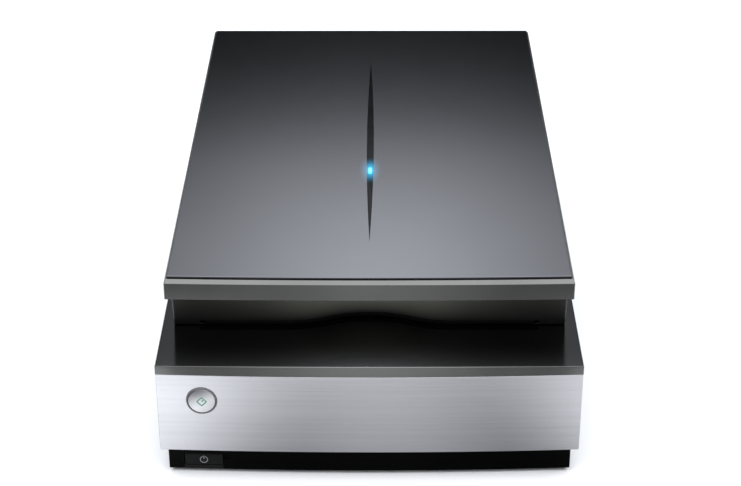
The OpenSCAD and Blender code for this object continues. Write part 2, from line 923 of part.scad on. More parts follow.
module lid_housing() {
    mat_gap = 123;
    color([0.07, 0.07, 0.075])
        difference() {
            intersection() {
                translate([0, 0, housing_bottom - 1])
                    linear_extrude(height = slab_bottom - housing_bottom + 1)
                        housing_outline(housing_half, housing_front, y_back, 0);
                translate([-200, 0, 0])
                    rotate([90, 0, 90])
                        linear_extrude(height = 400)
                            housing_side();
                // sides that draw in towards the bottom
                translate([0, y_back + 1, 0])
                    rotate([90, 0, 0])
                        linear_extrude(height = body_d)
                            polygon([[-housing_half + 2, 90], [housing_half - 2, 90],
                                [housing_half, 135], [-housing_half, 135]]);
            }
            // hollow above the floor
            translate([0, 0, lid_floor_in])
                linear_extrude(height = 60)
                    housing_outline(housing_half - 4, housing_front + wall, y_back - wall, wall);
            // bay for the document mat, open to the front, and its side grooves
            block([-mat_gap, mat_gap], [housing_front - 20, 156], [housing_bottom - 2, lid_floor]);
            block([-mat_gap - 3, mat_gap + 3], [housing_front - 20, 156], [97.1, lid_floor]);
            // film window
            block([-105, 105], [-130, 130], [lid_floor - 1, lid_floor_in + 1]);
            both_sides()
                block([leg_x - 18.4, leg_x + 18.4], [pivot_y - 20, y_back + 1],
                    [housing_bottom - 6, pivot_z + 8]);
            for (s = bumper_spots)
                bar_z([housing_bottom - 1, housing_bottom + 2.5], s, 2.5);
        }
}

bumper_spots = [for (x = [-135, 135], y = [housing_front + 14, 200]) [x, y]];

module film_window() {
    color([0.85, 0.9, 0.92, 0.6])
        block([-107.5, 107.5], [-133, 133], [lid_floor_in, lid_floor_in + 2]);
}

module lid_bumpers() {
    color([0.1, 0.1, 0.1])
        for (s = bumper_spots) {
            bar_z([base_top + 0.3, housing_bottom], s, 4);
            bar_z([housing_bottom, housing_bottom + 2.5], s, 2.5);
        }
}

// ---- Lid: film light drive ----

module lamp_rod() {
    color([0.75, 0.76, 0.78])
        bar_y([lamp_idler_y - 16, lamp_drive_y + 10], [lamp_rod_x, lamp_rod_z], 4);
    color([0.4, 0.4, 0.42])
        for (y = [lamp_idler_y - 16, lamp_drive_y + 2])
            difference() {
                block([lamp_rod_x - 6, lamp_rod_x + 6], [y, y + 8], [lid_floor_in, lamp_rod_z + 5.6]);
                bar_y([y - 1, y + 9], [lamp_rod_x, lamp_rod_z], 4);
            }
    // post and pin of the idler pulley
    color([0.4, 0.4, 0.42]) {
        block([-131.6, -129.6], [lamp_idler_y - 6, lamp_idler_y + 6], [lid_floor_in, lamp_belt_z + 4]);
        bar_x([-139.3, -129.6], [lamp_idler_y, lamp_belt_z], 1.2);
    }
}

module lamp_rail() {
    color([0.7, 0.7, 0.72])
        block([118, 126], [-165, 212], [lid_floor_in, 112]);
}

module lamp_motor() {
    color([0.3, 0.3, 0.32])
        motor([-130, -112], [lamp_drive_y, lamp_belt_z], 8, -139.4, 1.2);
}

module lamp_drive_pulley() {
    color([0.85, 0.85, 0.8])
        pulley([-139, -132], [lamp_drive_y, lamp_belt_z], 5, 1.2 + run_gap);
}

module lamp_idler_pulley() {
    color([0.85, 0.85, 0.8])
        pulley([-139, -132], [lamp_idler_y, lamp_belt_z], 5, 1.2 + run_gap);
}

module lamp_belt() {
    color([0.08, 0.08, 0.08])
        belt_loop(lamp_belt_x, [lamp_idler_y, lamp_drive_y], lamp_belt_z, 4 + run_gap, 1);
}

module lamp_carriage() {
    color([0.14, 0.14, 0.15])
        difference() {
            union() {
                block([-lamp_half, lamp_half], lamp_y, lamp_z);
                block([-130.4, -lamp_half], [lamp_y[0] + 4, lamp_y[1] - 4], [105.5, 118.5]);
                block([-131.6, -122], [lamp_y[0] + 10, lamp_y[1] - 10], [118, 124.2]);
                for (z = [118.7, 122.3])
                    block([-139.4, -131.6], [lamp_y[0] + 10, lamp_y[1] - 10], [z, z + 1.9]);
                block([lamp_half, 125], [lamp_y[0] + 8, lamp_y[1] - 8], [112.2, 118]);
            }
            bar_y([lamp_y[0] - 1, lamp_y[1] + 1], [lamp_rod_x, lamp_rod_z], 4 + run_gap);
            block([-104, 104], [lamp_y[0] + 12, lamp_y[1] - 12], [lamp_z[0] - 1, lamp_z[0] + 3]);
        }
}

module film_lamp() {
    color([0.95, 0.95, 0.9])
        block([-104, 104], [lamp_y[0] + 12, lamp_y[1] - 12], [lamp_z[0] + 0.4, lamp_z[0] + 3]);
}

module lid_board() {
    color([0.1, 0.35, 0.2]) {
        block([20, 70], [216, 244], [lid_floor_in + 4, lid_floor_in + 5.6]);
        for (x = [28, 48])
            block([x, x + 12], [222, 234], [lid_floor_in + 5.6, lid_floor_in + 8]);
        for (x = [24, 66])
            bar_z([lid_floor_in, lid_floor_in + 4], [x, 230], 2.5);
    }
}

// ---- Document mat ----

// Plan outline of the mat's layers; set is how far they stay behind the housing's front
module mat_outline(half, set, back) {
    difference() {
        translate([-half, housing_front + set])
            square([2 * half, back - housing_front - set]);
        translate([0, set])
            scoop();
    }
}

mat_back = 154;
mat_half = 122.6;
mat_z = [95.9, 97.4, 98.9];

// Backing plate, with a lip along its front that covers the pad's edge
module mat_backing() {
    color([0.08, 0.08, 0.085]) {
        translate([0, 0, mat_z[1]])
            linear_extrude(height = mat_z[2] - mat_z[1])
                mat_outline(mat_half + 3, 2.4, mat_back);
        translate([0, 0, mat_z[0] + 0.2])
            linear_extrude(height = mat_z[2] - mat_z[0] - 0.2)
                difference() {
                    mat_outline(mat_half, 0.4, housing_front + 30);
                    mat_outline(mat_half + 10, 2.4, housing_front + 31);
                }
    }
}

module mat_pad() {
    color([0.95, 0.95, 0.94])
        translate([0, 0, mat_z[0]])
            linear_extrude(height = mat_z[1] - mat_z[0])
                mat_outline(mat_half, 2.5, mat_back);
}

lower_tray();
upper_case();
front_panel();
platen_glass();
calibration_strip();
rubber_feet();
case_screws();
guide_rod();
rod_clamps();
slide_rail();
scan_motor();
drive_pulley();
scan_belt();
idler_bracket();
idler_pulley();
idler_spring();
main_board();
power_board();
computer_socket();
power_inlet();
lid_cable_socket();
leg_sockets();
start_ring();
start_button();
start_mark();
start_switch();
power_button();
power_mark();
power_switch();
transport_lock();
carriage_housing();
carriage_cover();
scan_lamp();
carriage_mirrors();
sensor_board();
carriage_bushes();
lens_slide();
scan_lenses();
lid_legs();
hinge_pins();
hinge_brackets();
hinge_springs();
lid_shell();
lid_top_plate();
status_window();
status_light();
lid_housing();
film_window();
lid_bumpers();
lamp_rod();
lamp_rail();
lamp_motor();
lamp_drive_pulley();
lamp_belt();
lamp_idler_pulley();
lamp_carriage();
film_lamp();
lid_board();
mat_backing();
mat_pad();
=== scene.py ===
"""Flatbed scanner with a film light unit in its lid: its looks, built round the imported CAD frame.

Sizes in this file are millimetres in the frame of the CAD, and become metres where a mesh is made.
"""

import json
import math

import bmesh
import bpy
from mathutils import Matrix, Vector


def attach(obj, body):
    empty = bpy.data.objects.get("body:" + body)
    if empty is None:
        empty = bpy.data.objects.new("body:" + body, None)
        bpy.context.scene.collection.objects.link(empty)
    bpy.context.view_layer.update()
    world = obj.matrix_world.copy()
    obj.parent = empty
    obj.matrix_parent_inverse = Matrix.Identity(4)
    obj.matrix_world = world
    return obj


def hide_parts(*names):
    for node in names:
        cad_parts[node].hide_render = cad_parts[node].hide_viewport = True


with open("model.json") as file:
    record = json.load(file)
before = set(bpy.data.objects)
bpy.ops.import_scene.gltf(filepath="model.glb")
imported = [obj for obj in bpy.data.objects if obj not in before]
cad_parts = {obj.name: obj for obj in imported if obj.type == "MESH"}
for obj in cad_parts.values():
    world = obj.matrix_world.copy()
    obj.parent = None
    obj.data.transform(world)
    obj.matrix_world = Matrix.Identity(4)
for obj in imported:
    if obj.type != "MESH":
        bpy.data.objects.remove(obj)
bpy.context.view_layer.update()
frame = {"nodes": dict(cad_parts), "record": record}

MM = 0.001
scene = bpy.context.scene

# ---- Sizes shared by several pieces ----
HALF_W = 154.0
Y_FRONT = -251.5
Y_BACK = 251.5
CASE_BOTTOM = 23.2
PANEL_TOP = 88.4
BASE_TOP = 95.4
TOP_IN = 92.6
WALL = 2.5
FRONT_BOW = 4.0
LID_HALF = 147.5
LID_FRONT = -222.8
LID_BOW = 2.3
SLAB_BOTTOM = 134.8
SHELL_IN = 146.4
RIM_Z = 150.4
PLATE_Z = 148.4
LID_TOP = 152.0
HOUSING_FRONT = -190.5
HOUSING_BOTTOM = 96.1
LID_FLOOR = 99.2
LID_FLOOR_IN = 101.7
PIVOT_Y = 240.5
PIVOT_Z = 108.5
LEG_X = 98.0
START_X = -121.2
START_Z = 67.0
START_HOLE = 11.2
# Where the facing's front stands at the start button
START_FACE = Y_FRONT + START_X ** 2 / (2 * (HALF_W ** 2 / (2 * FRONT_BOW) + FRONT_BOW / 2))
FACING_HALF = HALF_W - 0.4
LIGHT_Y = -47.0
WINDOW_Y = 5.5
SCOOP_HALF = 62.0
SCOOP_RADIUS = 80.0
SCOOP_DEPTH = 12.5
SCREWS = [(-60, -232), (60, -232), (-140, 236), (141.5, 222), (141.5, 30), (141.5, -150)]
FEET = [(x, y) for x in (-128, 128) for y in (-215, 215)]
BUMPERS = [(x, y) for x in (-135, 135) for y in (HOUSING_FRONT + 14, 200)]


# ---- Mesh helpers ----

def to_object(name, bm):
    """Puts a bmesh, in millimetres, into the scene as an object in metres."""
    bmesh.ops.scale(bm, vec=(MM, MM, MM), verts=bm.verts)
    bmesh.ops.recalc_face_normals(bm, faces=bm.faces)
    mesh = bpy.data.meshes.new(name)
    bm.to_mesh(mesh)
    bm.free()
    obj = bpy.data.objects.new(name, mesh)
    scene.collection.objects.link(obj)
    return obj


def loft(name, rings, closed=False):
    """Skin through rings of points: capped at both ends, or joined from the last ring to the first."""
    bm = bmesh.new()
    skin = [[bm.verts.new(p) for p in ring] for ring in rings]
    pairs = list(zip(skin, skin[1:])) + ([(skin[-1], skin[0])] if closed else [])
    for low, high in pairs:
        for i in range(len(low)):
            j = (i + 1) % len(low)
            bm.faces.new((low[i], low[j], high[j], high[i]))
    if not closed:
        bm.faces.new(list(reversed(skin[0])))
        bm.faces.new(skin[-1])
    return to_object(name, bm)


def prism(outline, z, name="tool"):
    return loft(name, [[(x, y, level) for x, y in outline] for level in z])


def box(x, y, z, name="tool"):
    return prism([(x[0], y[0]), (x[1], y[0]), (x[1], y[1]), (x[0], y[1])], z, name)


def turned(axis, at, profile, name="tool", sides=64, closed=False):
    """Solid of revolution.

    profile holds (place along the axis, radius), and at holds the two other coordinates.
    """
    rings = []
    for place, radius in profile:
        ring = []
        for i in range(sides):
            a = 2 * math.pi * i / sides
            u, v = at[0] + radius * math.cos(a), at[1] + radius * math.sin(a)
            ring.append({"X": (place, u, v), "Y": (u, place, v), "Z": (u, v, place)}[axis])
        rings.append(ring)
    return loft(name, rings, closed)


def settle(obj):
    """Applies an object's modifiers to its mesh."""
    graph = bpy.context.evaluated_depsgraph_get()
    graph.update()
    mesh = bpy.data.meshes.new_from_object(obj.evaluated_get(graph))
    old = obj.data
    obj.modifiers.clear()
    obj.data = mesh
    bpy.data.meshes.remove(old)
    return obj


def shape(obj, tools, operation="DIFFERENCE"):
    """Cuts tools out of a solid, or adds them to it."""
    for tool in tools:
        step = obj.modifiers.new("shape", "BOOLEAN")
        step.operation = operation
        step.solver = "EXACT"
        step.object = tool
    settle(obj)
    for tool in tools:
        mesh = tool.data
        bpy.data.objects.remove(tool)
        bpy.data.meshes.remove(mesh)
    return obj


def soften(obj, bevel, segments=2, angle=40.0):
    """Rounds an object's edges and shades it smooth."""
    mesh = obj.data
    mesh.polygons.foreach_set("use_smooth", [True] * len(mesh.polygons))
    if bevel:
        edge = obj.modifiers.new("rounded edges", "BEVEL")
        edge.width = bevel * MM
        edge.segments = segments
        edge.limit_method = "ANGLE"
        edge.angle_limit = math.radians(angle)
        edge.use_clamp_overlap = False
        edge.miter_outer = "MITER_SHARP"
    shade = obj.modifiers.new("shading", "WEIGHTED_NORMAL")
    shade.weight = 90
    shade.keep_sharp = True


def piece(obj, name, body, slot, nodes=(), bevel=0.25, segments=2, angle=40.0):
    """A finished piece: named, rounded, given its material, and riding on its CAD body."""
    obj.name = name
    obj.data.name = name
    soften(obj, bevel, segments, angle)
    obj.data.materials.clear()
    obj.data.materials.append(FINISH[slot])
    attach(obj, body)
    if nodes:
        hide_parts(*nodes)
    return obj


def bowed(half, front, bow, back, corner=0.0, steps=32):
    """Plan outline, anticlockwise, whose front edge is one shallow arc."""
    points = []
    for i in range(steps + 1):
        u = 2 * i / steps - 1
        points.append((half * u, front + bow * u * u))
    points += [(half, back), (-half, back)]
    if corner:
        points = fillet(points, {0: corner, steps: corner, steps + 1: corner, steps + 2: corner})
    return points


def fillet(points, radii, steps=5):
    """Rounds the corners of an outline whose indices are in radii."""
    rounded = []
    for i, p in enumerate(points):
        if i not in radii:
            rounded.append(p)
            continue
        here = Vector(p)
        before = (Vector(points[i - 1]) - here).normalized() * radii[i]
        after = (Vector(points[(i + 1) % len(points)]) - here).normalized() * radii[i]
        for k in range(steps + 1):
            t = k / steps
            rounded.append(tuple(here + before * (1 - t) ** 2 + after * t ** 2))
    return rounded


def spindle(half_length, half_width, steps=48):
    """Long outline that tapers to a point at both ends."""
    side = [2 * i / steps - 1 for i in range(steps + 1)]
    right = [(half_width * (1 - u * u), WINDOW_Y + half_length * u) for u in side]
    left = [(-half_width * (1 - u * u), WINDOW_Y + half_length * u) for u in reversed(side[1:-1])]
    return right + left


def scoop_dip(x):
    """How far the finger scoop sets back the lower housing's front at x."""
    x = abs(x)
    if x <= SCOOP_HALF / 2:
        return math.sqrt(SCOOP_RADIUS ** 2 - x * x) - (SCOOP_RADIUS - SCOOP_DEPTH)
    if x <= SCOOP_HALF:
        return SCOOP_RADIUS - math.sqrt(SCOOP_RADIUS ** 2 - (SCOOP_HALF - x) ** 2)
    return 0.0


def scooped(half, front, back, corner=0.0):
    """Plan outline with the finger scoop in its front edge."""
    points = [(-half, front)]
    points += [(x, front + scoop_dip(x)) for x in [SCOOP_HALF * (i / 28 - 1) for i in range(57)]]
    points += [(half, front), (half, back), (-half, back)]
    if corner:
        last = len(points) - 1
        points = fillet(points, {0: corner, last - 2: corner, last - 1: corner, last: corner})
    return points


# ---- Materials ----

class Graph:
    """A node material under construction."""

    def __init__(self, name):
        self.material = bpy.data.materials.new(name)
        self.material.use_nodes = True
        self.tree = self.material.node_tree
        self.shader = self.tree.nodes["Principled BSDF"]
        self.place = self.node("ShaderNodeTexCoord").outputs["Object"]

    def node(self, kind, **settings):
        made = self.tree.nodes.new(kind)
        for key, value in settings.items():
            setattr(made, key, value)
        return made

    def link(self, source, target):
        self.tree.links.new(source, target)

    def put(self, node, **inputs):
        """Links each socket given, and sets each value; _ stands for a space in an input's name."""
        for key, value in inputs.items():
            socket = node.inputs[key.replace("_", " ")]
            if isinstance(value, bpy.types.NodeSocket):
                self.link(value, socket)
            else:
                socket.default_value = value

    def set(self, **values):
        self.put(self.shader, **values)

    def stretched(self, scale):
        """Object coordinates scaled along each axis, for streaks."""
        made = self.node("ShaderNodeMapping")
        self.put(made, Vector=self.place, Scale=scale)
        return made.outputs["Vector"]

    def noise(self, scale, detail=3.0, vector=None, roughness=0.5):
        made = self.node("ShaderNodeTexNoise")
        self.put(made, Vector=vector or self.place, Scale=scale, Detail=detail, Roughness=roughness)
        return made.outputs["Fac"]

    def cells(self, scale):
        made = self.node("ShaderNodeTexVoronoi")
        self.put(made, Vector=self.place, Scale=scale)
        return made.outputs["Distance"]

    def blend(self, factor, stops):
        """Colour ramp."""
        made = self.node("ShaderNodeValToRGB")
        self.link(factor, made.inputs["Fac"])
        ramp = made.color_ramp
        while len(ramp.elements) < len(stops):
            ramp.elements.new(0.5)
        for element, (position, colour) in zip(ramp.elements, stops):
            element.position = position
            element.color = (*colour, 1.0) if len(colour) == 3 else colour
        return made.outputs["Color"]

    def span(self, value, low, high, to_low, to_high, smooth=False):
        made = self.node("ShaderNodeMapRange")
        if smooth:
            made.interpolation_type = "SMOOTHSTEP"
        self.put(made, Value=value, From_Min=low, From_Max=high, To_Min=to_low, To_Max=to_high)
        return made.outputs["Result"]

    def calc(self, a, b, operation="ADD"):
        made = self.node("ShaderNodeMath", operation=operation)
        for socket, value in zip(made.inputs, (a, b)):
            if isinstance(value, bpy.types.NodeSocket):
                self.link(value, socket)
            else:
                socket.default_value = value
        return made.outputs[0]

    def mixed(self, factor, a, b, blend_type="MIX"):
        made = self.node("ShaderNodeMix", data_type="RGBA", blend_type=blend_type)
        self.put(made, Factor=factor, A=a, B=b)
        return made.outputs["Result"]

    def distance(self, scale, middle):
        """Distance from a point, in object coordinates scaled along each axis."""
        made = self.node("ShaderNodeVectorMath", operation="DISTANCE")
        self.link(self.stretched(scale), made.inputs[0])
        made.inputs[1].default_value = middle
        return made.outputs["Value"]

    def bump(self, height, strength, distance):
        made = self.node("ShaderNodeBump")
        self.put(made, Strength=strength, Distance=distance * MM, Height=height)
        self.set(Normal=made.outputs["Normal"])

    def axes(self):
        """Object coordinates, in metres, one socket each."""
        made = self.node("ShaderNodeSeparateXYZ")
        self.link(self.place, made.inputs["Vector"])
        return tuple(made.outputs[k] for k in "XYZ")

    def bell(self, value, width, low, high):
        """low far from zero, rising to high at zero."""
        ratio = self.calc(value, width, "DIVIDE")
        peak = self.calc(2.718, self.calc(self.calc(ratio, ratio, "MULTIPLY"), -1.0, "MULTIPLY"), "POWER")
        return self.span(peak, 0.0, 1.0, low, high)

    def tint(self, colour, factor):
        """Blends the base colour towards another colour."""
        base = self.shader.inputs["Base Color"].links[0].from_socket
        self.set(Base_Color=self.mixed(factor, base, (*colour, 1.0)))

    def edge_mask(self, radius):
        """1 along worn edges, and 0 on open faces."""
        rounded = self.node("ShaderNodeBevel", samples=4)
        rounded.inputs["Radius"].default_value = radius * MM
        plain = self.node("ShaderNodeNewGeometry")
        turn = self.node("ShaderNodeVectorMath", operation="DOT_PRODUCT")
        self.link(rounded.outputs["Normal"], turn.inputs[0])
        self.link(plain.outputs["Normal"], turn.inputs[1])
        return self.span(turn.outputs["Value"], 0.995, 0.9, 0.0, 1.0)


def grey(value, tint=(1.0, 1.0, 1.0)):
    return tuple(value * t for t in tint)


def moulded(name, dark, light, rough, grain, depth, metallic=0.0, coat=0.0, wear=0.0):
    """Moulded plastic or paint: cloudy colour, uneven gloss, a fine grain, and faintly worn edges."""
    g = Graph(name)
    cloud = g.noise(14.0, 4.0)
    colour = g.blend(cloud, [(0.3, dark), (0.7, light)])
    gloss = g.calc(g.noise(55.0, 5.0), g.noise(grain * 0.35, 2.0), "MULTIPLY")
    roughness = g.span(gloss, 0.15, 0.4, rough[0], rough[1])
    if wear:
        edge = g.calc(g.edge_mask(0.5), g.noise(260.0, 4.0), "MULTIPLY")
        worn = (*[min(1.0, 3.0 * c + 0.03) for c in light], 1.0)
        colour = g.mixed(g.calc(edge, wear, "MULTIPLY"), colour, worn)
    g.set(Base_Color=colour, Roughness=roughness, Metallic=metallic, Coat_Weight=coat, Coat_Roughness=0.04)
    g.bump(g.noise(grain, 2.0), depth, 0.05)
    return g


def brushed(name, dark, light, rough, scale, aniso=0.0, lines=0.12):
    """Metal with fine lines; scale is small along the lines and large across them."""
    g = Graph(name)
    streak = g.noise(1.0, 6.0, g.stretched(scale), 0.65)
    broad = g.noise(1.0, 3.0, g.stretched(tuple(s * 0.12 for s in scale)))
    colour = g.blend(g.calc(g.calc(streak, 0.65, "MULTIPLY"), g.calc(broad, 0.35, "MULTIPLY")),
                     [(0.3, dark), (0.7, light)])
    g.set(Base_Color=colour, Metallic=1.0, Roughness=g.span(streak, 0.3, 0.7, *rough), Anisotropic=aniso)
    if aniso:
        way = g.node("ShaderNodeTangent", direction_type="RADIAL", axis="Z")
        g.set(Tangent=way.outputs["Tangent"])
    g.bump(streak, lines, 0.02)
    return g


def make_finishes():
    """One material for each material slot in the record."""
    made = {}

    # glossy black shell: faint haze and hairline scratches; a painted sheen makes it paler along the
    # middle of its front
    g = moulded("case_black", grey(0.0008), grey(0.0016), (0.1, 0.17), 900.0, 0.015, coat=0.06, wear=0.2)
    g.set(Specular_IOR_Level=0.18)
    x, y, _ = g.axes()
    front = g.calc(g.span(y, -0.21, -0.25, 0.0, 1.0), 2.4, "POWER")
    g.tint(grey(0.04), g.calc(front, g.bell(x, 0.05, 0.3, 1.0), "MULTIPLY"))
    made["case_black"] = g

    # dark metallic paint on the lid's slab, and a lighter tone on the base's lip, with a painted highlight
    # that makes the lip's middle lighter still
    g = moulded("lid_grey", (0.137, 0.136, 0.13), (0.16, 0.159, 0.152), (0.2, 0.27), 2600.0, 0.03,
                metallic=1.0, coat=0.1, wear=0.06)
    x, _, z = g.axes()
    lip = g.calc(g.span(z, 0.1, 0.11, 1.0, 0.0), g.bell(x, 0.1, 0.2, 1.0), "MULTIPLY")
    g.tint((0.29, 0.288, 0.275), lip)
    made["lid_grey"] = g

    made["plate_dark"] = plate_finish("plate_dark")
    made["window_black"] = window_finish("window_black")

    # the power button is painted a little paler than the strip round it, a painted sheen
    g = moulded("plinth_black", grey(0.0005), grey(0.001), (0.42, 0.58), 1500.0, 0.2, wear=0.15)
    g.set(Specular_IOR_Level=0.06)
    x, y, z = g.axes()
    key = g.calc(g.span(x, -0.1081, -0.1085, 0.0, 1.0), g.span(z, 0.0156, 0.0158, 1.0, 0.0), "MULTIPLY")
    key = g.calc(key, g.span(x, -0.1372, -0.1367, 0.0, 1.0), "MULTIPLY")
    g.tint(grey(0.014), g.calc(key, g.span(y, -0.2, -0.21, 0.0, 1.0), "MULTIPLY"))
    made["plinth_black"] = g

    # painted sheen: the skirt above the finger scoop is painted paler towards its top and along its middle
    g = moulded("housing_black", grey(0.0012), grey(0.0022), (0.3, 0.4), 1800.0, 0.02, wear=0.02)
    x, y, z = g.axes()
    skirt = g.calc(g.span(z, 0.099, 0.122, 0.0, 1.0), g.span(y, -0.165, -0.17, 0.0, 1.0), "MULTIPLY")
    g.tint((0.16, 0.16, 0.138), g.calc(skirt, g.bell(x, 0.06, 0.2, 1.0), "MULTIPLY"))
    made["housing_black"] = g

    # plain mouldings: two shades, roughness, grain, its depth, wear
    for name, dark, light, rough, grain, depth, wear in (
        ("inner_black", grey(0.02), grey(0.032), (0.4, 0.6), 1300.0, 0.3, 0.3),
        ("mat_grey", grey(0.0012), grey(0.002), (0.5, 0.65), 1400.0, 0.15, 0.0),
        ("ring_grey", grey(0.12), grey(0.15), (0.3, 0.42), 1900.0, 0.12, 0.3),
        ("mark_green", (0.08, 0.29, 0.17), (0.11, 0.34, 0.21), (0.35, 0.5), 2500.0, 0.08, 0.0),
        ("mark_grey", grey(0.26), grey(0.32), (0.4, 0.55), 2500.0, 0.08, 0.0),
        ("white_plastic", (0.78, 0.78, 0.76), (0.85, 0.85, 0.83), (0.45, 0.6), 1600.0, 0.12, 0.0),
        ("pulley_cream", (0.62, 0.58, 0.45), (0.7, 0.66, 0.53), (0.35, 0.5), 1200.0, 0.15, 0.0),
        ("lamp_white", (0.82, 0.84, 0.8), (0.9, 0.91, 0.88), (0.4, 0.5), 900.0, 0.1, 0.0),
    ):
        made[name] = moulded(name, dark, light, rough, grain, depth, wear=wear)
    made["mat_grey"].set(Specular_IOR_Level=0.1)

    # brushed aluminium facing: long horizontal lines
    made["panel_silver"] = brushed("panel_silver", (0.63, 0.625, 0.65), (0.78, 0.775, 0.8), (0.26, 0.36),
                                   (9.0, 40.0, 2600.0), 0.7, lines=0.08)
    made["button_silver"] = button_finish("button_silver")

    # bare metals: two shades, roughness, scale of the lines
    for name, dark, light, rough, scale in (
        ("steel", (0.5, 0.5, 0.52), (0.68, 0.68, 0.7), (0.16, 0.3), (700.0, 60.0, 700.0)),
        ("sheet_steel", (0.36, 0.37, 0.39), (0.5, 0.5, 0.53), (0.3, 0.48), (300.0, 300.0, 300.0)),
        ("bronze", (0.45, 0.29, 0.12), (0.58, 0.4, 0.18), (0.3, 0.45), (900.0, 90.0, 900.0)),
        ("socket_metal", (0.55, 0.55, 0.56), (0.72, 0.72, 0.73), (0.2, 0.34), (900.0, 900.0, 90.0)),
    ):
        made[name] = brushed(name, dark, light, rough, scale)

    made["rubber"] = rubber_finish("rubber", 1400.0)
    made["belt_rubber"] = rubber_finish("belt_rubber", 2600.0)
    made["board_green"] = board_finish("board_green")

    made["clear_glass"] = glass_finish("clear_glass", (0.93, 0.98, 0.96, 1.0), 1.52, 0.0)
    made["lens_glass"] = glass_finish("lens_glass", (0.62, 0.55, 0.9, 1.0), 1.7, 0.35)

    g = Graph("mirror")
    g.set(Base_Color=g.blend(g.noise(30.0, 3.0), [(0.2, grey(0.86)), (0.8, grey(0.92))]), Metallic=1.0,
          Roughness=g.span(g.noise(90.0, 4.0), 0.3, 0.7, 0.01, 0.05))
    made["mirror"] = g

    # lit light guide: pale in the middle, bluer towards its rim
    g = Graph("light_blue")
    far = g.distance((1.0, 0.45, 0.0), (0.0, 0.45 * (LIGHT_Y + 1.2) * MM, 0.0))
    colour = g.blend(g.span(far, 0.0, 2.4 * MM, 0.0, 1.0),
                     [(0.0, (0.2, 0.95, 1.0)), (0.55, (0.12, 0.75, 0.98)), (1.0, (0.05, 0.42, 0.85))])
    g.set(Base_Color=colour, Emission_Color=colour, Emission_Strength=1.05,
          Roughness=g.span(g.noise(900.0), 0.3, 0.7, 0.2, 0.3))
    made["light_blue"] = g

    return {name: graph.material for name, graph in made.items()}


def glow(g, reach, level):
    """Blue light that the status light spills on the surface round it, fading with distance."""
    far = g.distance((1.0, 0.36, 0.0), (0.0, 0.36 * (LIGHT_Y + 1.5) * MM, 0.0))
    near = g.span(far, 0.0, reach * MM, 1.0, 0.0)
    fall = g.calc(near, 2.2, "POWER")
    g.set(Emission_Color=(0.06, 0.5, 0.85, 1.0), Emission_Strength=g.calc(fall, level, "MULTIPLY"))


def plate_finish(name):
    """Dark metallic film under a clear coat, with the status light's glow."""
    g = Graph(name)
    flake = g.noise(5200.0, 1.0)
    cloud = g.noise(9.0, 3.0)
    colour = g.blend(g.calc(g.calc(flake, 0.5, "MULTIPLY"), g.calc(cloud, 0.5, "MULTIPLY")),
                     [(0.25, (0.165, 0.167, 0.18)), (0.75, (0.19, 0.192, 0.207))])
    g.set(Base_Color=colour, Metallic=1.0, Roughness=g.span(g.noise(70.0, 5.0), 0.3, 0.7, 0.113, 0.119),
          Coat_Weight=0.1, Coat_Roughness=0.05)
    g.bump(flake, 0.015, 0.03)
    glow(g, 10.5, 0.8)
    return g


def window_finish(name):
    """Smoked, polished plastic."""
    g = Graph(name)
    g.set(Base_Color=g.blend(g.noise(40.0, 3.0), [(0.3, grey(0.002)), (0.7, grey(0.004))]),
          Roughness=g.span(g.noise(120.0, 5.0), 0.3, 0.7, 0.05, 0.12), Specular_IOR_Level=0.06)
    g.bump(g.noise(500.0, 2.0), 0.01, 0.03)
    glow(g, 9.0, 1.9)
    return g


def button_finish(name):
    """Satin metal with fine rings about the button's middle, and a painted shade that darkens it towards
    its upper left.
    """
    g = Graph(name)
    join = g.node("ShaderNodeCombineXYZ")
    g.put(join, X=g.distance((1.0, 0.0, 1.0), (START_X * MM, 0.0, START_Z * MM)))
    rings = g.noise(2600.0, 4.0, join.outputs["Vector"])
    g.set(Base_Color=g.blend(rings, [(0.3, (0.8, 0.8, 0.82)), (0.7, (0.92, 0.92, 0.93))]), Metallic=0.85,
          Roughness=g.span(rings, 0.3, 0.7, 0.26, 0.36))
    # painted shade: the cap darkens towards its upper left and pales towards its lower right
    x, _, z = g.axes()
    shade = g.calc(g.calc(x, -START_X * MM), g.calc(g.calc(z, -START_Z * MM), -1.4, "MULTIPLY"))
    g.tint((0.27, 0.265, 0.28), g.span(shade, -0.018, 0.008, 1.0, 0.0, smooth=True))
    g.bump(rings, 0.05, 0.02)
    return g


def rubber_finish(name, grain):
    g = Graph(name)
    g.set(Base_Color=g.blend(g.noise(60.0, 4.0), [(0.3, grey(0.016)), (0.7, grey(0.028))]),
          Roughness=g.span(g.noise(grain * 0.4, 3.0), 0.3, 0.7, 0.7, 0.88))
    g.bump(g.cells(grain), 0.3, 0.06)
    return g


def board_finish(name):
    """Lacquered circuit board: tracks, pads and speckle."""
    g = Graph(name)
    tracks = g.node("ShaderNodeTexBrick", offset=0.5)
    g.put(tracks, Vector=g.place, Scale=260.0)
    tracks.inputs["Mortar Size"].default_value = 0.03
    tracks.inputs["Color1"].default_value = (0.012, 0.09, 0.04, 1)
    tracks.inputs["Color2"].default_value = (0.016, 0.12, 0.05, 1)
    tracks.inputs["Mortar"].default_value = (0.03, 0.19, 0.085, 1)
    pads = g.span(g.cells(420.0), 0.12, 0.16, 1.0, 0.0)
    colour = g.mixed(pads, tracks.outputs["Color"], (0.6, 0.5, 0.25, 1))
    g.set(Base_Color=colour, Roughness=g.span(g.noise(180.0), 0.3, 0.7, 0.25, 0.42))
    g.bump(tracks.outputs["Fac"], 0.2, 0.03)
    return g


def glass_finish(name, tint, ior, coat):
    g = Graph(name)
    g.set(Base_Color=tint, Transmission_Weight=1.0, IOR=ior, Coat_Weight=coat,
          Roughness=g.span(g.noise(35.0, 5.0), 0.4, 0.7, 0.0, 0.005))
    return g


FINISH = make_finishes()


# ---- Base: outer pieces ----

